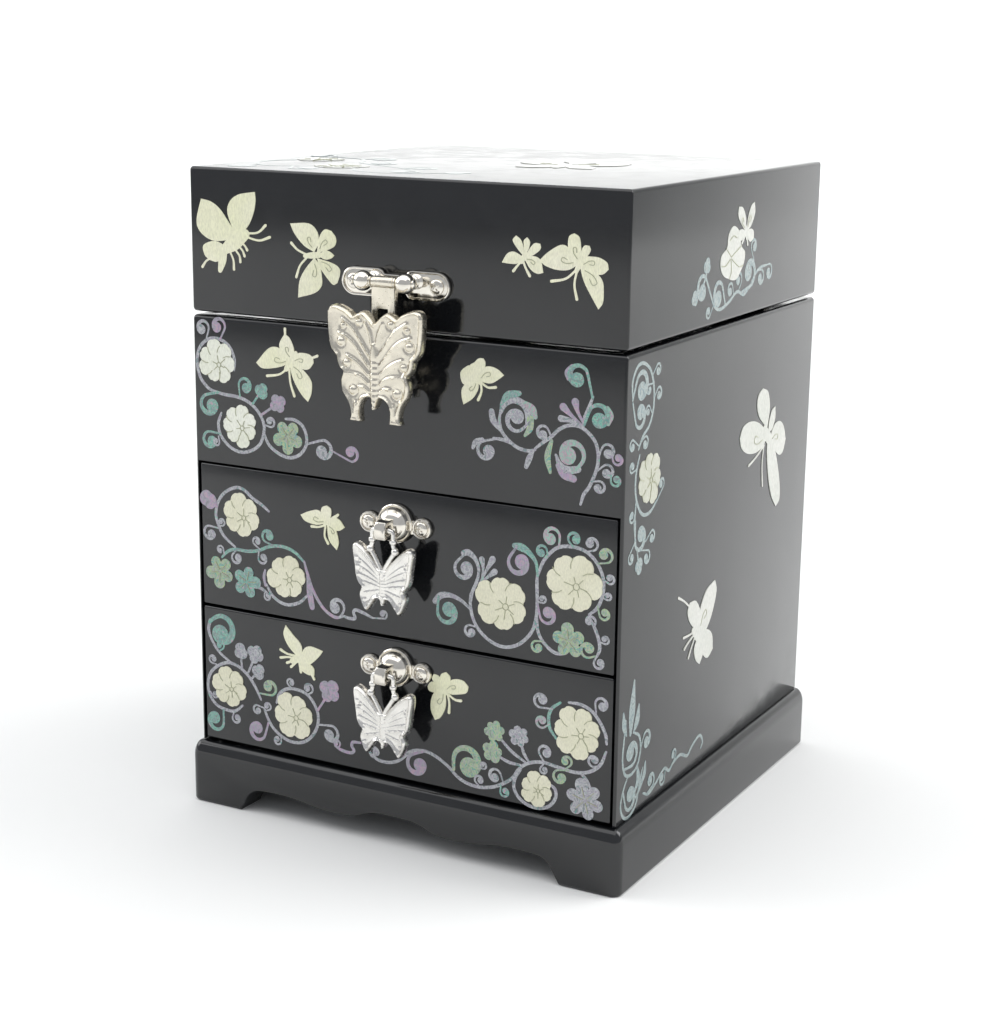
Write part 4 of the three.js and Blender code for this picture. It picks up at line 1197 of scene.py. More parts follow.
PLAIN = "plain"
LID_FRONT = {
    "butterflies": [
        ([((-64, 197.5), [(-70, 196.8), (-74, 198), (-76.8, 200.5), (-77.3, 204)], (-75.4, 210.3),
           [(-71.5, 209.6), (-68, 207.5), (-65, 204), (-62.2, 200)], PLAIN),
          ((-61.5, 198.5), [(-64.8, 206), (-63.8, 210), (-60.5, 212.3), (-56, 213.2)], (-53.8, 213.5),
           [(-53.6, 210.5), (-54.5, 206.5), (-57, 202)], PLAIN),
          ((-65, 195), [(-70, 196.8), (-74.8, 195.2), (-74.4, 192)], (-72.4, 190.4),
           [(-69.5, 190), (-67, 191.6)], PLAIN)],
         [((-58, 199.6), (-66.6, 194), 5.2), ((-66.3, 193.5), (-68.2, 187.4), 3)],
         [[(-58.5, 200), (-53, 200.5), (-49.8, 203)], [(-58, 199), (-52.5, 198), (-48.2, 199.3)],
          [(-64, 193.5), (-62.8, 191), (-62.6, 188)], [(-62, 194.5), (-60.3, 192.5), (-60, 190.6)],
          [(-60.6, 195.8), (-59, 194.2), (-58.3, 192.6)], [(-59.2, 196.8), (-58, 195.8), (-57.2, 194.6)],
          [(-71.6, 191.2), (-73.8, 190), (-75.4, 188)]]),
        ([((-31, 195.6), [(-35, 197.5), (-38.5, 201)], (-40.2, 204.2),
           [(-33, 204.6), (-29.7, 202), (-29.4, 198.5)]),
          ((-31, 193.8), [(-34.5, 190), (-36.8, 186)], (-37.4, 180.6),
           [(-31, 182.5), (-28.3, 185), (-28.2, 188), (-29, 191.5)]),
          ((-30, 195.4), [(-29, 200.5), (-27, 203)], (-24.4, 202.7),
           [(-22.7, 200.5), (-23.2, 198), (-26.4, 196.4)]),
          ((-29.5, 194.6), [(-27, 196.4), (-24.8, 196)], (-23.4, 195), [(-24.5, 194), (-27, 193.5)], PLAIN),
          ((-30, 193.8), [(-24, 192.5), (-21.5, 191), (-21.3, 189)], (-22.3, 186.3),
           [(-24, 185.7), (-26.5, 188), (-29, 191)])], [((-34.6, 194.2), (-27.4, 195), 2.1)],
         [[(-34.5, 194.8), (-37.5, 196), (-39.8, 198)], [(-34, 193.6), (-36.6, 190.8), (-38, 187.2)]]),
        ([((45, 198.6), [(41.5, 200.3), (39, 199.6)], (37.2, 196.8), [(40, 196.6), (42.5, 196.8)], PLAIN),
          ((44.7, 199), [(42.2, 201.6), (40.8, 203.8)], (42, 205.2), [(43.6, 204), (44.6, 201.6)], PLAIN),
          ((44.9, 199), [(44.7, 201.8), (44.6, 203.8)], (45.7, 204.9),
           [(46.7, 203.6), (46.3, 201.4)], PLAIN),
          ((45, 198.8), [(46.8, 201.8), (48.4, 203.3)], (50.2, 203.2),
           [(50.3, 201.6), (47.8, 199.6)], PLAIN),
          ((44.6, 198.8), [(48, 199.4), (50.4, 198.3)], (51.4, 194.6), [(49.4, 194.2), (47, 195.4)])],
         [((44, 197.4), (45.4, 200.2), 1.8)],
         [[(44, 197.8), (42.6, 196.2), (41.2, 194.5)], [(44.6, 197.5), (45.4, 195.6), (46.8, 193.4)]]),
        ([((63.2, 198), [(61, 200.7), (59.5, 202.8), (57, 203.3), (53, 201)], (50, 198.3),
           [(52, 196.8), (56, 195.8), (60, 196.1)]),
          ((63.2, 198), [(60.6, 201), (59.5, 203), (59.8, 206)], (61.5, 207),
           [(63.2, 206), (63.8, 203.5), (63.9, 200.8)]),
          ((63.4, 198.6), [(64, 202), (65, 203.6)], (66.6, 203.6), [(67, 202.2), (65.6, 200)], PLAIN),
          ((63.2, 197.6), [(65.6, 200.2), (67.4, 200.5), (70, 200.3), (72.5, 199)], (73, 197),
           [(71, 195.4), (67.5, 195.6)]),
          ((63.4, 198), [(65, 193), (68, 188)], (70, 185),
           [(71.4, 187), (71.6, 190.5), (71, 193.8), (68, 196.4)])], [((62.4, 195.8), (64.8, 201), 1.9)],
         [[(62.6, 196.4), (59, 193.4), (54.2, 192.3)], [(62.6, 195.8), (61.9, 191.8), (62.8, 187.5)]]),
    ],
}
FIXED_PANEL = {
    "flowers": [
        (-70.5, 156.5, 7.4, 7, 0.4, "white_pearl"), (-61.5, 136, 7.5, 7, 0.9, "white_pearl"),
    ],
    "vines": [
        [(-63.5, 154.5), (-63.2, 158), (-65, 162), (-68.5, 164.2), (-73, 164.3), (-77, 161.5),
         (-78.6, 156.5), (-77.4, 151), (-74.3, 147.6), (-71, 146.4)],
        [(-72, 146.8), (-68, 146), (-62, 145.6), (-57.5, 144.2), (-54, 141.5), (-51.9, 138), (-51.8, 134.5),
         (-53.5, 130.5), (-57, 128), (-61.5, 127), (-66, 128.5), (-69.5, 132), (-70.3, 136), (-69, 139.5)],
        [(-52, 135), (-50, 131), (-46.5, 128.5), (-42, 127.3), (-38, 128.5), (-35.3, 131.5), (-34.8, 135),
         (-36.3, 138.5), (-39.5, 140.2), (-43, 140.2)],
        [(37.3, 151), (37, 147.5), (38, 144.5), (40.5, 142), (43.5, 140.2), (47, 139.6), (49.6, 140.2)],
        [(49.6, 140.6), (52.5, 143), (55, 144.8), (57.4, 147.2), (60.5, 148.9), (64, 149.2), (67, 147.9),
         (69.8, 145.2), (71, 141.8), (71, 138.2), (70.2, 135.2), (68.3, 130.8), (66.5, 128.2), (65.5, 125)],
        [(65.8, 149), (66.2, 151.8), (67.6, 155.2), (68.9, 158.6)],
        [(41.5, 141.2), (38.5, 142.1), (35, 142.3)],
    ],
    "curls": [
        (42.8, 148.6, 3.8, 47.4, 148.6, -1), (62.4, 140.2, 4.6, 62.6, 134.6, 1, "rose"),
        (-75.8, 167.8, 2.7, -74.6, 163.9, 1), (-69.3, 168.9, 2.9, -69, 164.2, 1, "lilac"),
        (-59.2, 149.8, 2.8, -61.2, 145.8, -1, "teal"), (-49, 138.4, 1.9, -51.9, 137.5, 1),
        (-74, 142, 3.9, -70.3, 146.3, 1, "teal"), (-74, 130, 3.1, -69.6, 132.4, 1, "teal"),
        (-71.2, 129.4, 1.5, -70.4, 131.4, -1), (-28, 131.6, 3.5, -34.9, 132.6, -1),
        (-17.2, 131.2, 2.7, -24.6, 131.4, 1, "lilac"), (32.2, 138.2, 3.3, 36.5, 142.3, 1),
        (52.2, 146, 2.4, 55.2, 144.6, 1), (63.8, 164.6, 3.7, 68.8, 158, 1, "teal"),
        (71, 153, 3.9, 66.2, 149.8, -1, "teal"), (74.3, 142.6, 2.4, 71, 139.8, -1),
        (77.6, 140.2, 1.9, 75.8, 141.4, 1, "lilac"), (74.3, 136.4, 2.3, 70.6, 135.8, -1),
        (77.1, 133.6, 1.9, 75.6, 135.2, 1, "teal"), (71.8, 131.2, 2.1, 69.2, 132.6, -1),
    ],
    "buds": [
        (-52.4, 148.7, 3, -56, 144, 3, "teal"), (-46, 145, 3.2, -52.6, 140.6, 4, "lilac"),
    ],
    "leaves": [
        (-42.2, 134.2, 5.9, 90, 5, "green"),
    ],
    "plumes": [
        ([(37.4, 150.6), (38.6, 153.4), (41.6, 155), (45, 154.2), (47, 151.6), (47.2, 148)],
         [1.2, 2.2, 2.2, 2.3, 2.6, 2.2]),
        ([(37.4, 153), (39.8, 156.2), (43.7, 157.2)], [0.8, 2.4, 1.8], "teal"),
        ([(45.5, 154.5), (48.3, 152.8), (49.5, 150.4)], [1.4, 2.6, 1.5], "rose"),
        ([(47.8, 149.6), (47.6, 146.6), (46, 144.3)], [2.4, 2.2, 1], "green"),
        ([(34.2, 150.6), (34.9, 147.8), (37.3, 145)], [2, 2.2, 0.8]),
        ([(31, 141.4), (28.7, 140.4), (27.7, 138.5)], [1.4, 1.8, 1.2]),
        ([(49, 140), (47.7, 137.5), (46.6, 134.6)], [0.9, 2, 1.5]),
        ([(55.2, 143.6), (53.9, 138.6), (54.9, 133.8)], [1.2, 2.2, 1.1], "green"),
        ([(56.8, 139.4), (58.2, 136.6), (61.2, 135.2), (64.4, 135.8)], [0.9, 1.8, 2.4, 2.2]),
        ([(57.4, 136.2), (59.4, 133.4), (62.9, 132.7)], [1.4, 2, 2.4], "lilac"),
        ([(59, 154.5), (61.5, 152.4), (65, 149.8)], [2.6, 1.3, 0.8], "lilac"),
        ([(63, 156.4), (63.9, 153.5), (66, 150)], [2.6, 1.2, 0.8], "lilac"),
        ([(58.3, 150.9), (62, 150.5), (66, 148.8)], [2.2, 1.3, 0.8]),
        ([(61.8, 167), (60.2, 165.2), (60.4, 163.2)], [1.8, 2, 1], "lilac"),
        ([(73.8, 155.6), (75, 153.4), (74.2, 150.8)], [1.4, 1.8, 1.2], "rose"),
    ],
    "butterflies": [
        ([((-40.4, 159.4), [(-44, 162.9), (-47, 163.8), (-50, 162.5)], (-54.3, 157.9),
           [(-52, 156.3), (-48, 156.6), (-44, 157.6)]),
          ((-40.2, 159.6), [(-43.6, 162), (-45, 164), (-44.5, 166)], (-42.8, 168.4),
           [(-41, 167.2), (-39.8, 165.2), (-39.2, 163)]),
          ((-40.4, 159.6), [(-38, 162.4), (-34, 162.6), (-32, 161.5)], (-31.6, 159.8),
           [(-33.5, 157.6), (-36, 157.4), (-38.5, 158.4)]),
          ((-41, 159.4), [(-38, 158.4), (-35, 156.5), (-32.5, 153.5), (-32.7, 149.5)], (-34, 146.8),
           [(-36.5, 149), (-39, 152.5), (-40.5, 156)])], [((-42.4, 156.8), (-38.6, 162.4), 2.4)],
         [[(-41.6, 157.4), (-45, 154.9), (-50, 153.9)], [(-41.2, 156.8), (-40.8, 152.4), (-39.3, 148.2)],
          [(-42.6, 167), (-42.7, 170)], [(-32.4, 161.3), (-30.2, 162.2)]]),
        ([((29, 159.8), [(31.5, 164), (34, 164.6), (36.5, 163.8)], (38.5, 162.3),
           [(36, 160.4), (33.5, 159.3)]),
          ((29.2, 160), [(26.5, 164), (28, 165.4), (29.6, 166.8)], (31.2, 166.9),
           [(31.9, 165.6), (31.4, 163)], PLAIN),
          ((29.6, 160), [(26.8, 164.1), (24.8, 163.6), (23.2, 162)], (23.2, 160),
           [(24, 158.4), (26.4, 157.8)], PLAIN),
          ((29.6, 160), [(26.2, 159.4), (23.8, 157), (23.6, 154.4)], (24.3, 151.8),
           [(27.5, 154), (29.4, 157)])], [((27.2, 163), (30.4, 158.8), 1.6)],
         [[(30.6, 159.2), (33, 158), (35.6, 158.3)], [(30.4, 159), (30.6, 156.4), (29.5, 153.8)]]),
    ],
}
UPPER_FRONT = {
    "flowers": [
        (-61.5, 105.2, 7.4, 6, 0.2, "warm_pearl"), (-43.3, 86.2, 8.2, 6, 0.7, "warm_pearl"),
        (38.8, 89.6, 9.6, 6, 0.1, "warm_pearl"), (63.4, 99.8, 10.1, 6, 0.5, "warm_pearl"),
    ],
    "vines": [
        [(-50.3, 108), (-53, 109.8), (-57, 111.8), (-60, 114), (-63.5, 114.6), (-68, 112.5), (-71, 109),
         (-72.2, 104.5), (-71.3, 100.8), (-69, 97), (-64.5, 93.8)],
        ([(-70, 89.5), (-67.3, 92), (-64, 93), (-59.5, 93), (-55, 93.8), (-51, 95.6), (-47, 96.5),
          (-43, 96.3), (-39.5, 95), (-36.3, 92.4)], "teal"),
        ([(-36.3, 92.6), (-35, 88.5), (-33.3, 84), (-30.5, 79.5), (-27.5, 76.6), (-24, 75.2),
          (-21.4, 75.8)], "lilac"), [(-51.8, 82.5), (-49, 78.6), (-44, 76.6), (-38.6, 78), (-35.2, 81)],
        [(-21.5, 76.2), (-18.4, 75.7), (-16.3, 76.1), (-16.9, 77.9), (-16, 79), (-13, 78.4), (-9.5, 77.2)],
        ([(-52.2, 87.4), (-52.7, 85), (-52.2, 82)], "lilac"), [(-55.6, 80.9), (-53.6, 80.6), (-51.6, 79.6)],
        [(27.4, 91), (27.3, 87), (28.5, 82.5), (31, 79), (35, 76.3), (39.5, 75.3), (44, 76.5), (47.5, 79.3),
         (50, 83), (51.1, 88), (51.2, 93), (51, 98), (51.2, 101.6)],
        [(27.4, 88), (27.9, 91.5), (29.4, 95), (30.2, 98)],
        [(51.3, 100.5), (53, 105), (55.5, 108.3), (58.3, 110.5), (62.5, 111.3), (67, 110.7), (70.5, 108.5),
         (73, 105), (74, 101), (73.5, 96.5), (71.8, 92.8), (69.3, 90.6)],
        [(51.2, 92), (51.1, 86), (52, 81.5), (54.5, 78.3), (58, 76.3), (61.5, 77), (63.2, 79)],
        [(69.6, 89.5), (71.4, 86.4), (72.8, 83), (73.2, 80), (72.3, 77.5)],
    ],
    "curls": [
        (-23.2, 78.9, 3.1, -22.6, 75.2, 1), (-5.2, 79, 1.6, -9.8, 77.2, 1),
        (-75, 97.5, 2.7, -70.6, 99.4, 1), (-69.8, 101.7, 1.5, -71.4, 100.3, 1),
        (-70.6, 92.2, 1.5, -69, 90.6, 1), (-64, 90, 2.2, -63.6, 93, 1), (-53.2, 91.2, 2, -54.6, 93.8, 1),
        (-55.6, 97, 1.7, -54, 94.2, -1), (-51, 99.3, 2.5, -48.2, 96.4, -1, "teal"),
        (-51.4, 78.2, 1.5, -52.4, 80.2, 1), (18.7, 83.4, 4, 15.6, 88.4, 1, "teal"),
        (44.3, 103.4, 4, 43.6, 108.4, 1, "lilac"), (24.6, 98.8, 3.6, 25, 103.6, 1),
        (27.2, 78.7, 2.2, 30.2, 80.2, 1), (56, 113.7, 3.1, 58.4, 110.4, 1, "rose"),
        (63.5, 113.9, 2.3, 63.6, 111.2, -1, "teal"), (69.8, 113, 2.3, 67.8, 110.4, 1),
        (74.6, 110, 2.5, 71.8, 107.2, 1, "green"), (52.6, 108.6, 2.1, 54.6, 107.2, 1, "teal"),
        (76.2, 102.7, 1.7, 73.8, 102.6, 1), (75.6, 97.2, 1.4, 73.6, 96.8, 1),
        (74.5, 91.3, 2, 72.2, 93.6, 1, "green"), (53.2, 93, 1.4, 51.3, 92, 1),
        (54.9, 88, 3, 51.3, 91.6, 1, "lilac"), (51.3, 77.4, 2.1, 53.4, 79.4, 1, "green"),
        (70, 88.5, 2, 70.6, 87.6, 1), (75.1, 83.2, 1.5, 73, 82.4, 1),
        (69, 79, 2.7, 72.4, 77.8, -1, "green"), (73, 75.3, 2, 72.4, 77.8, 1),
    ],
    "buds": [
        (-75.2, 109, 3.4, -71.8, 107, 2, "lilac"),
    ],
    "leaves": [
        (-70.8, 84.4, 5.8, -60, 5, "green"), (-59.8, 82.2, 6, 40, 5, "teal"), (62.4, 81, 6, 60, 5, "green"),
    ],
    "plumes": [
        ([(-35, 88), (-34.2, 82), (-33.3, 77.4)], [0.9, 2.3, 2.2], "lilac"),
        ([(27.2, 86), (24, 88.2), (20, 89.4), (16.4, 88.8), (14.3, 86.6)], [0.9, 1.2, 1.6, 2.2, 2]),
        ([(51.2, 100.5), (50.5, 104.6), (48, 107.4), (45.4, 108.7), (43, 108.9)], [0.9, 1.2, 1.9, 2.6, 1.9],
         "teal"),
        ([(29.9, 96), (30.2, 99.6), (28.8, 102.8), (26.4, 104.4), (24.6, 104)], [0.9, 1.1, 1.5, 2.2, 1.8]),
        ([(31.5, 97), (31.8, 100), (31.3, 102.8)], [0.8, 0.9, 2.1]),
        ([(31, 95.6), (33, 99.5), (35.2, 103.4)], [0.8, 1, 2.3]),
        ([(30.6, 95), (33.4, 97.3), (36, 99.5)], [0.8, 1, 2.1]),
    ],
    "butterflies": [
        ([((-26.6, 107.2), [(-30, 110.9), (-34, 110.2)], (-37.4, 108.6), [(-35.5, 106.7), (-31, 106)]),
          ((-26.8, 107), [(-29.2, 110), (-28.8, 112.2)], (-27, 113), [(-25.4, 112), (-25.4, 109.6)], PLAIN),
          ((-27, 107), [(-24, 109.2), (-21.8, 108.6)], (-20, 106.4), [(-22.4, 105), (-25, 105.6)], PLAIN),
          ((-27, 107), [(-26.2, 101.5)], (-23.2, 98.4), [(-22.4, 100.8), (-23.1, 104.3), (-24.8, 107.2)])],
         [((-28, 106.3), (-22.6, 110.4), 1.4)],
         [[(-27.8, 106.2), (-30.5, 105.3), (-33, 105.2)],
          [(-27.6, 105.8), (-27.9, 102.6), (-26.6, 100.2)]]),
    ],
}
LOWER_FRONT = {
    "flowers": [
        (-68, 43.3, 7.1, 6, 0.3, "warm_pearl"), (-41.3, 37.8, 8.2, 6, 0.6, "warm_pearl"),
        (52, 30, 5.8, 6, 0.2, "warm_pearl"), (66.4, 51.5, 8.6, 7, 0.8, "warm_pearl"),
    ],
    "vines": [
        [(-54.8, 41), (-57, 45), (-60, 48.7), (-64, 51.3), (-68.5, 52), (-73, 50), (-76, 47), (-77.2, 43),
         (-76.5, 39), (-74, 36), (-70.5, 34.8), (-66, 34.8), (-62.6, 37.4)],
        [(-48.3, 41), (-47, 44.5), (-43.8, 46.8), (-40, 47.2), (-36, 46.3), (-33, 43.5), (-31.3, 39.5),
         (-31.8, 35.3), (-34, 31.5), (-37.5, 28.8), (-42, 28), (-46, 29), (-49.5, 31.3), (-51.8, 34.3),
         (-53.5, 38)],
        ([(-24.6, 29.9), (-22, 28.9), (-18.5, 28.6), (-17, 29.6), (-17.9, 31.2), (-17.3, 32.6),
          (-14.5, 32.9)], "lilac"),
        [(-11, 30.6), (-8, 28.4), (-4, 28), (0, 29.2), (3, 31.6), (5.2, 33.6), (8.4, 34.6), (12, 34.6),
         (16, 33.2), (20, 30.8), (23, 28.3), (26.5, 26.8), (31, 26.3), (36, 27.3), (40, 29.3), (43.5, 32),
         (45.7, 35.4), (49, 38), (54, 39.3), (60, 38.7), (66, 38.2), (71, 39.5), (74.5, 42.5), (76.3, 47)],
        [(46.3, 35.3), (44.3, 32), (44, 28.5), (46, 25.5), (49.5, 23.7), (53.5, 23.6), (57, 25.2),
         (59, 28.3), (58.8, 31), (57.2, 32.3)],
        ([(60, 60.3), (57, 57.8), (56, 54.6), (56.6, 51), (58.8, 48.2)], "teal"),
        [(63, 60.9), (67, 61), (71, 59.5), (74, 56.3), (76, 52.5), (76.4, 49.6)],
        [(47.8, 38.2), (43, 40.8), (38.6, 44.6)], [(49, 38.8), (47.4, 41), (46.4, 44)],
        [(46.4, 36.8), (42, 37), (38.4, 38.2)], [(67.5, 38.4), (69.6, 36.6), (71.4, 33.6)],
    ],
    "curls": [
        (-70.6, 63.6, 5.6, -76, 65.4, -1, "teal"), (26.4, 34.2, 5.6, 21.6, 30.6, -1, "green"),
        (-71.4, 57.7, 1.7, -72.6, 55.4, 1, "teal"), (-75, 52.2, 1.7, -73.4, 50.6, -1),
        (-50.9, 45.8, 2.9, -55.2, 43.2, 1, "green"), (-74.2, 39.3, 1.3, -76.2, 40.2, 1),
        (-65.4, 32.2, 1.9, -66.2, 34.6, 1), (-74, 29.8, 3.7, -70.8, 34.4, -1, "teal"),
        (-56.5, 37.2, 1.8, -53.6, 38.2, 1), (-52, 39, 1.6, -53.4, 37.2, 1),
        (-56.3, 29.3, 3.6, -51.8, 33.2, -1, "lilac"), (-48, 27.4, 1.7, -46.6, 29.6, -1),
        (-42.5, 49.3, 1.6, -41.8, 47.2, -1), (-35, 48.4, 2, -35.6, 46.2, 1),
        (-26, 34, 3.2, -31.5, 36.2, -1), (-23.7, 30.9, 1.5, -23.6, 29.6, 1, "lilac"),
        (-9, 30.6, 2.2, -6.4, 28.2, -1), (7.4, 29.6, 4, 10.6, 34.7, 1, "lilac"),
        (37, 31.6, 2.5, 40, 29.8, 1), (31, 28.8, 1.8, 31.6, 26.4, -1),
        (40.5, 26.4, 1.8, 39.2, 28.6, 1, "teal"), (54.8, 43, 2.4, 54.8, 39.4, -1),
        (54.5, 36.8, 1.5, 54.6, 39, 1), (60.2, 35.7, 2.5, 63.4, 38.4, 1, "green"),
        (62.8, 41.3, 2, 62.4, 38.8, 1, "green"), (72, 43.1, 2.1, 74.2, 42, -1),
        (53, 59.8, 2.6, 57.4, 57.8, -1), (53.5, 52.7, 2.2, 56.3, 52.6, -1, "rose"),
        (74.3, 62.3, 2.4, 72.6, 58.6, -1), (32.7, 34, 1.4, 31.4, 33, 1),
    ],
    "buds": [
        (-63, 56.8, 3, -62.5, 51.2, 3), (-56.6, 57, 3.5, -60, 49.6, 4), (-55.7, 51, 2.9, -58.6, 47.8, 3),
        (-26.5, 48.8, 4.3, -31.6, 41, 4, "lilac"), (36.6, 46.6, 3.6, 38.6, 44.4, 6, "green"),
        (45.6, 46.4, 3.9, 46.5, 43.2, 6), (36, 39.4, 3.6, 38.6, 38, 5, "green"),
    ],
    "leaves": [
        (69.4, 29.5, 7, 75, 6),
    ],
    "plumes": [
        ([(-67.2, 52.2), (-72, 55.2), (-75, 59), (-76.4, 62.8), (-75.6, 66.2)], [0.9, 1, 1.1, 1.2, 1.3]),
    ],
    "butterflies": [
        ([((-38, 58), [(-42.8, 62), (-44.9, 66)], (-44, 69.4), [(-41, 66.4), (-37.6, 63)], PLAIN),
          ((-38.6, 57.6), [(-36.8, 62), (-34, 63.5)], (-29, 62.6), [(-31, 60), (-34.6, 57)], PLAIN),
          ((-38.6, 58), [(-35.6, 57.8), (-32.8, 56)], (-32.6, 53.4), [(-35.4, 53.4), (-38.4, 55)], PLAIN)],
         [((-41.4, 57.2), (-36.6, 60), 3)],
         [[(-40.4, 59.2), (-43.6, 59.4), (-46.2, 60.4)], [(-40.8, 58.4), (-43.6, 58.2), (-46.2, 57.6)],
          [(-40.4, 57.6), (-43.6, 56.2)], [(-39.8, 57), (-42, 55)], [(-38.6, 57), (-38, 53.8)],
          [(-34.2, 54.6), (-32.7, 52.2)]]),
        ([((17.6, 57), [(19.5, 60.2), (22, 61.6), (25, 61.5)], (27, 59.8),
           [(26.2, 57.6), (23, 56.6), (20.5, 56.2)]),
          ((17.8, 57), [(16.4, 60.2), (16.8, 62.4)], (18.6, 63.4), [(20.2, 62), (19.8, 59.8)], PLAIN),
          ((18.2, 57), [(15.4, 58.4), (13.4, 60.2)], (14, 62), [(15.8, 61.6), (17.8, 59.8)], PLAIN),
          ((18.2, 57.4), [(15, 55.8), (12.4, 56)], (11.7, 57.4), [(13, 59.2), (15.6, 59)], PLAIN),
          ((18.4, 57.4), [(15, 56.6), (13.2, 53.6), (13, 49.6)], (14.6, 46.4), [(16.8, 47.8), (18.6, 52)])],
         [((16, 58.8), (19.6, 55.6), 1.4)],
         [[(19.8, 55.8), (22, 54.6), (24.2, 54.6)], [(19.4, 55.6), (19.9, 53), (19.8, 49.8)]]),
    ],
}
SIDE_LID = {
    "blossoms": [
        ([(73.6, 197.2), (74.4, 200.8), (76.6, 203.2), (79.8, 203.9), (84, 201.6), (86, 197), (89.4, 194.6),
          (88.8, 191.2), (86.2, 188.6), (83, 186.4), (79.6, 186.2), (76, 187), (71.6, 188.4), (68.8, 191.4),
          (69.2, 195)],
         [[(77.6, 194), (73.2, 197)], [(77.6, 194), (86, 197)], [(77.8, 193.4), (84.4, 190.2), (88, 190.4)],
          [(77.4, 193), (78, 189.2), (76.6, 187)], [(77, 193.4), (72.6, 191.4), (69.6, 191.8)],
          [(76, 199.6), (79, 200.8), (81.6, 200)]], "side_white"),
    ],
    "vines": [
        [(63, 181), (66.5, 178.4), (71, 177.8), (78, 179.6), (84, 182), (90, 180.4), (95, 182.6)],
        [(95, 182), (99, 186), (104, 188), (109, 188.4)], [(57, 190), (55, 187), (50, 184)],
    ],
    "curls": [
        (68, 183, 4.4, 74, 179, 1), (54.4, 186.4, 4.4, 63, 181.4, 1), (95, 187, 5, 88, 181.4, 1),
        (97.4, 196, 2.6, 98, 191, -1), (105, 184.8, 2.8, 101, 187.4, -1), (112.6, 186, 2.8, 108, 188.4, -1),
        (78, 183.4, 2.4, 81, 180.8, 1), (85.4, 186, 2.6, 85, 182, 1), (60, 177.6, 2, 64, 179.6, -1),
    ],
    "buds": [
        (58, 193, 2.8, 57, 189, 3), (48.6, 183.4, 2.6, 52, 184.6, 3),
    ],
    "butterflies": [
        ([((89.4, 201.2), [(85.4, 204), (82.4, 207)], (82.6, 210), [(86, 209.4), (89, 206)]),
          ((90, 201.2), [(91, 206), (93.6, 209.6)], (96.4, 210.6), [(97, 207), (94, 203)]),
          ((89.8, 201.2), [(86.4, 202.4), (83.4, 202)], (82.6, 200), [(85, 198.6), (88, 199.4)], PLAIN),
          ((89.6, 201.2), [(93.6, 202), (96.4, 200.9)], (96.6, 198.6),
           [(94, 197.6), (91.4, 198.8)], PLAIN)], [((89, 203.4), (90.4, 199), 1.8)],
         [[(89, 200), (86.6, 197.8)], [(90.4, 199.6), (91.6, 196.8)]], "side_white"),
    ],
}
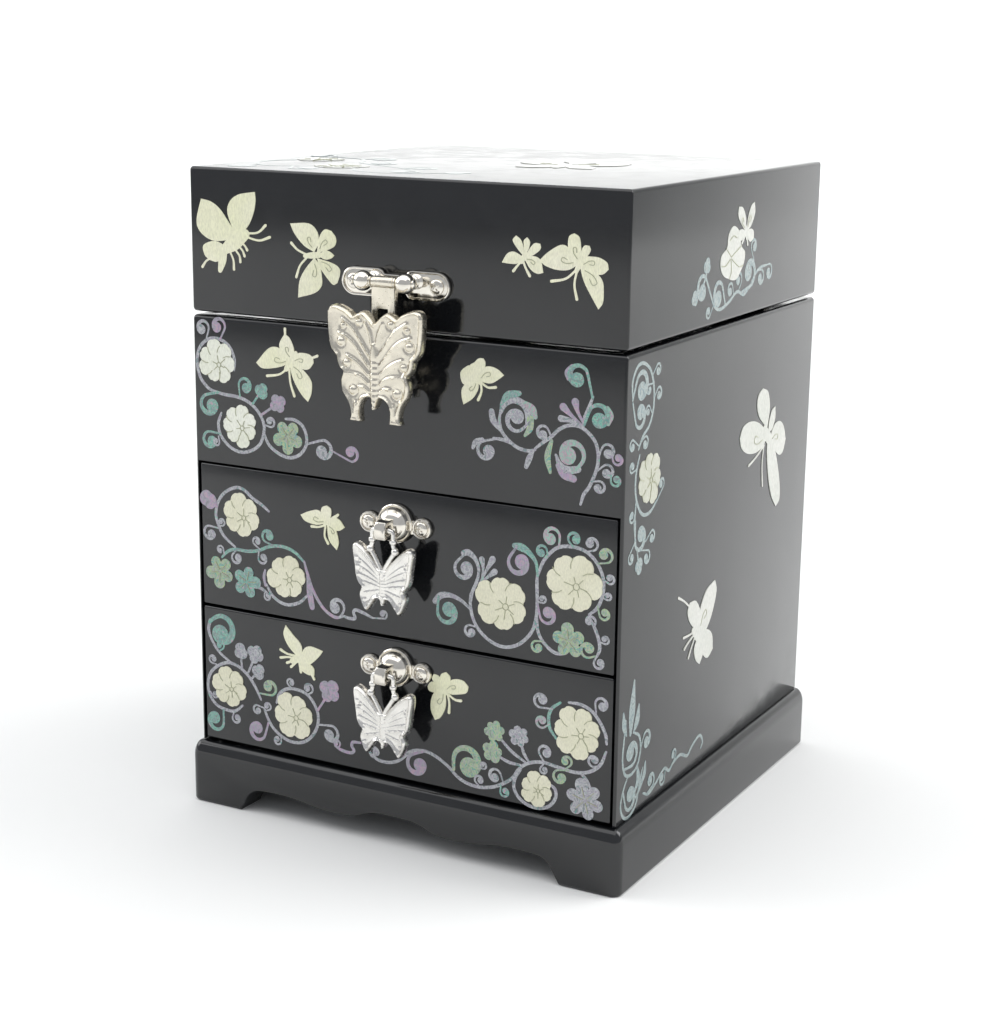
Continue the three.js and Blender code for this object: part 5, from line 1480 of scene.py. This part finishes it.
SIDE_BODY = {
    "flowers": [
        (18, 131.5, 9, 7, 0.3, "side_pearl"),
    ],
    "vines": [
        [(4.4, 158), (3.8, 163.4), (7, 167.6), (11.6, 168.2), (16.6, 165.4), (19.4, 160), (19.6, 153.6),
         (17, 148.4), (12.4, 145.6), (9.4, 142)],
        [(10.4, 140), (8, 134), (8.6, 127), (13, 121.2), (19, 120.4), (24.6, 123.4)],
        [(9, 127), (8, 119), (9.4, 112)],
        [(6, 56), (5, 50), (4.2, 43.5), (6.2, 38.2), (10.8, 36.6), (15.6, 38.4), (17.6, 43), (16.4, 47.8),
         (12.4, 50.2)],
        [(8.8, 37), (5.4, 33), (3.6, 28), (6.2, 23.6), (10.8, 22.8), (15.2, 25.2), (17, 30), (19.6, 36)],
        [(12, 26), (18, 29.6), (22, 34)],
        [(20.6, 27), (25, 25.4), (31, 27.4), (37, 30), (41, 28), (44, 29.6), (50, 30.6), (56, 28.4),
         (60, 30.6), (66, 32.4), (69, 29.6), (67.6, 27.4)],
    ],
    "plumes": [
        ([(9.6, 50.6), (10.4, 58), (11.4, 67.6)], [1.6, 4.4, 1.2]),
        ([(6.6, 51), (4.8, 54.6), (4, 59)], [0.8, 3, 1]),
        ([(11.8, 50.4), (14.4, 54), (15.4, 58.6)], [0.8, 3.4, 1]),
        ([(13.6, 29), (16.4, 33.6), (15.4, 38)], [0.8, 2.6, 1]),
        ([(17.4, 30), (21, 33.4), (21.6, 37.4)], [0.8, 2.4, 1]),
    ],
    "curls": [
        (10.6, 161.6, 4.8, 4.2, 158, -1), (10, 152, 4, 4.4, 157, 1), (15.8, 159.6, 1.8, 18.8, 161, 1),
        (22.4, 165, 2, 18, 163.4, -1), (23.4, 157.4, 2.2, 19.7, 156, -1),
        (15.6, 153.2, 1.7, 18.8, 151.4, 1), (4.8, 144, 2, 9.6, 143, 1), (14.4, 143.4, 2.2, 11, 144, -1),
        (5, 137, 1.8, 8.6, 136, -1), (27.6, 128, 2, 24, 123, 1), (12.4, 113.4, 4.2, 8.6, 119.6, 1),
        (6, 121.4, 2, 8.4, 124, -1), (6, 108.4, 2, 8.6, 113, 1), (18, 106.4, 2.4, 13.6, 109.4, -1),
        (21.4, 112.4, 2.2, 16.6, 111.6, -1), (11, 43.4, 4.4, 6, 40, 1), (22, 45.2, 3.2, 17.4, 42.6, -1),
        (10.4, 28.6, 4.2, 5.4, 32, 1), (26.6, 29.4, 2.8, 23.4, 25.8, 1), (35.4, 26.8, 2.2, 38, 30, -1),
        (44.6, 32.6, 2, 42.4, 28.8, 1),
    ],
    "buds": [
        (12, 104.6, 2.8, 10.4, 110, 3),
    ],
    "butterflies": [
        ([((116.6, 126.6), [(115.6, 129.6), (109.3, 133.5), (101.5, 135.4), (94.6, 134.6)], (91.7, 131.2),
           [(93.8, 127.2), (99.5, 124.4), (107.1, 123.4), (113.6, 124.4)]),
          ((117, 130), [(113.6, 132.6), (109.3, 135.5), (106.8, 139.4), (107.4, 143.4)], (111.6, 145.4),
           [(116.3, 143.7), (118.5, 139.6), (118.6, 135.5)], PLAIN),
          ((118.4, 129.4), [(118.8, 132.4), (121, 136)], (124.2, 137.2),
           [(124.6, 132.8), (121.6, 129)], PLAIN),
          ((120, 125.6), [(121.8, 128.4), (125, 130.8), (129.8, 130.9), (133.6, 128.3)], (136, 123.4),
           [(133.8, 119.2), (130.2, 118.5), (126, 120.8)]),
          ((118.4, 127.4), [(117.8, 123.4), (118.8, 117.6), (121.1, 110.4), (124.2, 104.6)], (129, 99.8),
           [(132.4, 101.8), (131.9, 108), (128, 117.2), (123.6, 124.4)], PLAIN)],
         [((114.7, 130.3), (122.7, 123.4), 4.6)],
         [[(115, 124.6), (107.3, 121.6), (101, 119.9)], [(114.6, 124.8), (113.7, 117.9), (114.9, 110.1)]],
         "side_white"),
        ([((61, 70), [(62, 77.4), (67, 83.4)], (74.4, 85.4), [(76, 81), (72, 73), (66, 68.6)]),
          ((62, 70), [(54.6, 75), (51.8, 79.6)], (53.4, 82.6), [(58.4, 82), (62.6, 77)], PLAIN),
          ((61, 70), [(68, 69.8), (73.4, 66.6)], (74.6, 61), [(70, 59), (65, 62.4)], PLAIN),
          ((62, 70), [(58.4, 65.4), (60, 61)], (63.4, 58.6), [(66.6, 62.4), (66, 67.4)], PLAIN)],
         [((57, 72), (64.4, 66.6), 3.6)],
         [[(55, 80), (49, 84), (43.8, 86.6)], [(58, 71.4), (53, 71.4), (49, 71.6)],
          [(58, 70.4), (53.4, 69), (50, 67.4)], [(58.6, 69.4), (55.6, 66), (53.8, 63.4)]], "side_white"),
    ],
}
LID_TOP_PANEL = {
    "flowers": [
        (-64, 54, 9, 7, 0.4, "side_white"), (-40.4, 29.6, 9.4, 7, 0.9, "side_white"),
    ],
    "vines": [
        [(-72, 66), (-66, 68.4), (-56, 66), (-49, 58), (-44, 48), (-34, 42), (-24, 37), (-14, 30)],
        [(-52, 22), (-60, 18), (-68, 22), (-74, 32), (-74, 42), (-70, 47)],
        [(-31, 24), (-26, 16), (-16, 12), (-6, 14), (0, 20)],
    ],
    "curls": [
        (-75, 72, 5, -70, 67.6, 1), (-48, 68, 5, -53, 62.4, -1), (-36, 49, 5, -40, 45, 1),
        (-13, 37, 5, -18, 32.6, -1), (-45, 15, 5, -53, 21, 1), (-10, 21, 5, -8, 13.4, 1),
    ],
    "buds": [
        (-68, 12, 5, -66, 20, 3), (6, 26, 4.6, 0, 20, 3),
    ],
    "butterflies": [
        ([((18, 80), [(11, 88), (3, 93)], (-5, 92), [(-1, 83), (9, 78)]),
          ((19, 80), [(21, 89), (26, 97)], (33, 100), [(34, 90), (27, 82)]),
          ((18, 79), [(10, 75), (6, 70)], (7, 64), [(14, 65), (18, 72)], PLAIN),
          ((19, 79), [(22, 72), (27, 68)], (33, 69), [(31, 76), (25, 80)], PLAIN)],
         [((17, 84), (20, 68), 4)], [[(17, 84), (14, 91), (9, 97)], [(18, 84), (20, 92), (20, 98)]],
         "side_white"),
    ],
}


def draw(inlay, panel):
    """Lays every piece that a panel lists."""
    ways = {"vines": inlay.vine, "plumes": inlay.stroke, "curls": inlay.curl, "buds": inlay.bud,
            "leaves": inlay.leaf, "flowers": inlay.flower, "blossoms": inlay.blossom,
            "butterflies": inlay.butterfly}
    for kind, lay in ways.items():
        for piece in panel.get(kind, []):
            if isinstance(piece, tuple):
                lay(*piece)
            else:
                lay(piece)
    inlay.build()


def build_inlays():
    draw(Inlay("inlay_lid_front", FRONT, "lid"), LID_FRONT)
    # the top and side panels take the darker side shells: painted shade
    draw(Inlay("inlay_lid_top", TOP, "lid", "side"), LID_TOP_PANEL)
    draw(Inlay("inlay_fixed_panel", FRONT, "cabinet"), FIXED_PANEL)
    draw(Inlay("inlay_upper_drawer", FRONT, "upper_drawer"), UPPER_FRONT)
    draw(Inlay("inlay_lower_drawer", FRONT, "lower_drawer"), LOWER_FRONT)
    for side, face, mirrored in (("right", RIGHT, False), ("left", LEFT, True)):
        draw(Inlay(f"inlay_lid_{side}", face, "lid", "side", mirrored), SIDE_LID)
        draw(Inlay(f"inlay_body_{side}", face, "cabinet", "side", mirrored), SIDE_BODY)


# ---- Stage, light and camera --------------------------------------------------------------------

# Each area light in metres: where it hangs, what it points at, its width and height, and its watts.
LIGHTS = {
    "ceiling": ((-0.3, -0.4, 2.3), (-0.3, -0.3, 0), (3.6, 3.0), 40),
    "window": ((1.7, 1.2, 1.6), (0.7, 0.6, 0.0), (1.8, 1.8), 39),
    "back_wall": ((-1.5, 2.2, 1.6), (-1.5, 3.2, 0.5), (4.4, 0.8), 38),
    "fill": ((-2.0, -0.5, 1.1), (-0.3, -0.3, 0.0), (1.6, 1.2), 17),
}


def build_stage():
    """White paper that curves up from the floor into a wall."""
    floor_half, wall_y, wall_top = 9.0, 3.2, 4.5
    bend = 0.8
    steps = 10
    section = [(-floor_half, 0.0), (wall_y - bend, 0.0)]
    for i in range(1, steps + 1):
        angle = i / steps * TAU / 4
        section.append((wall_y - bend + bend * math.sin(angle), bend * (1 - math.cos(angle))))
    section.append((wall_y, wall_top))
    verts = [(x, y, z) for x in (-floor_half, floor_half) for y, z in section]
    count = len(section)
    faces = [(i, i + 1, count + i + 1, count + i) for i in range(count - 1)]
    mesh = bpy.data.meshes.new("backdrop")
    mesh.from_pydata(verts, [], faces)
    paper, _, _ = new_material("backdrop_paper", (0.87, 0.87, 0.855), 0.9)
    finish_mesh(mesh, [paper], 60)
    backdrop = bpy.data.objects.new("backdrop", mesh)
    bpy.context.scene.collection.objects.link(backdrop)


def area_light(name, place_at, aim, size, power):
    light = bpy.data.lights.new(name, "AREA")
    light.shape = "RECTANGLE"
    light.size, light.size_y = size
    light.energy = power
    lamp = bpy.data.objects.new(name, light)
    lamp.location = place_at
    lamp.rotation_euler = (Vector(aim) - Vector(place_at)).to_track_quat("-Z", "Y").to_euler()
    bpy.context.scene.collection.objects.link(lamp)


def build_light():
    """The area lights, in a room that is brighter behind the chest than in front of it."""
    world = bpy.data.worlds.new("studio")
    world.use_nodes = True
    tree = world.node_tree
    background = tree.nodes["Background"]
    coords = tree.nodes.new("ShaderNodeTexCoord")
    split = tree.nodes.new("ShaderNodeSeparateXYZ")
    tree.links.new(coords.outputs["Generated"], split.inputs["Vector"])
    stops = [(0.0, (0.6, 0.62, 0.66)), (0.5, (0.72, 0.74, 0.77)), (1.0, (1, 1, 1))]
    tree.links.new(ramp(tree, split.outputs["Y"], stops), background.inputs["Color"])
    background.inputs["Strength"].default_value = 0.8
    bpy.context.scene.world = world
    for name, (place_at, aim, size, power) in LIGHTS.items():
        area_light(name, place_at, aim, size, power)


def build_camera():
    """The photo's camera, as fitted to the chest's corners."""
    view_azimuth = math.radians(28.666)
    view_height = math.radians(13.703)
    roll = math.radians(0.698)
    focal_px = 1983.1
    frame_px = 1024
    sensor_mm = 36
    eye_right, eye_before_front, eye_z = 325.0, 528.0, 265.6
    camera = bpy.data.cameras.new("camera")
    camera.sensor_width = sensor_mm
    camera.lens = sensor_mm * focal_px / frame_px
    camera.clip_start = 0.01
    level = math.cos(view_height)
    sine, cosine = math.sin(view_azimuth), math.cos(view_azimuth)
    forward = Vector((-sine * level, cosine * level, -math.sin(view_height)))
    right = Vector((cosine, sine, 0))
    up = right.cross(forward)
    turned_right = right * math.cos(roll) + up * math.sin(roll)
    turned_up = -right * math.sin(roll) + up * math.cos(roll)
    position = Vector((eye_right, FRONT_Y - eye_before_front, eye_z)) * MM
    rows = zip(turned_right, turned_up, -forward, position)
    holder = bpy.data.objects.new("camera", camera)
    holder.matrix_world = Matrix([list(row) for row in rows] + [[0, 0, 0, 1]])
    bpy.context.scene.collection.objects.link(holder)
    bpy.context.scene.camera = holder


def finish_cad_boards():
    """The CAD pieces that stay in view get the look of their slot and softened edges."""
    looks = {"lacquer": LACQUER, "inside_wood": WOOD, "velvet": VELVET, "nickel": NICKEL,
             "cast_silver": CAST, "mirror_glass": MIRROR}
    slots = {part["node"]: part["material_slot"] for part in frame["record"]["subparts"]}
    for node, piece in frame["nodes"].items():
        if piece.hide_render:
            continue
        piece.data.materials.clear()
        piece.data.materials.append(looks[slots[node]])
        bevel(piece, 0.25)


build_camera()
build_stage()
build_light()
build_lid()
build_body()
build_plinth()
for drawer in DRAWERS:
    build_drawer_front(drawer)
build_hasp_plate()
build_hasp_butterfly()
for drawer in DRAWERS:
    _, axis_z = joint_axis(drawer.replace("drawer", "pull_swing"))
    build_pull_rose(drawer, axis_z)
    build_pull_butterfly(drawer, axis_z)
build_hinge_screws()
build_inside()
build_inlays()
finish_cad_boards()

bpy.context.scene.view_settings.view_transform = "Standard"
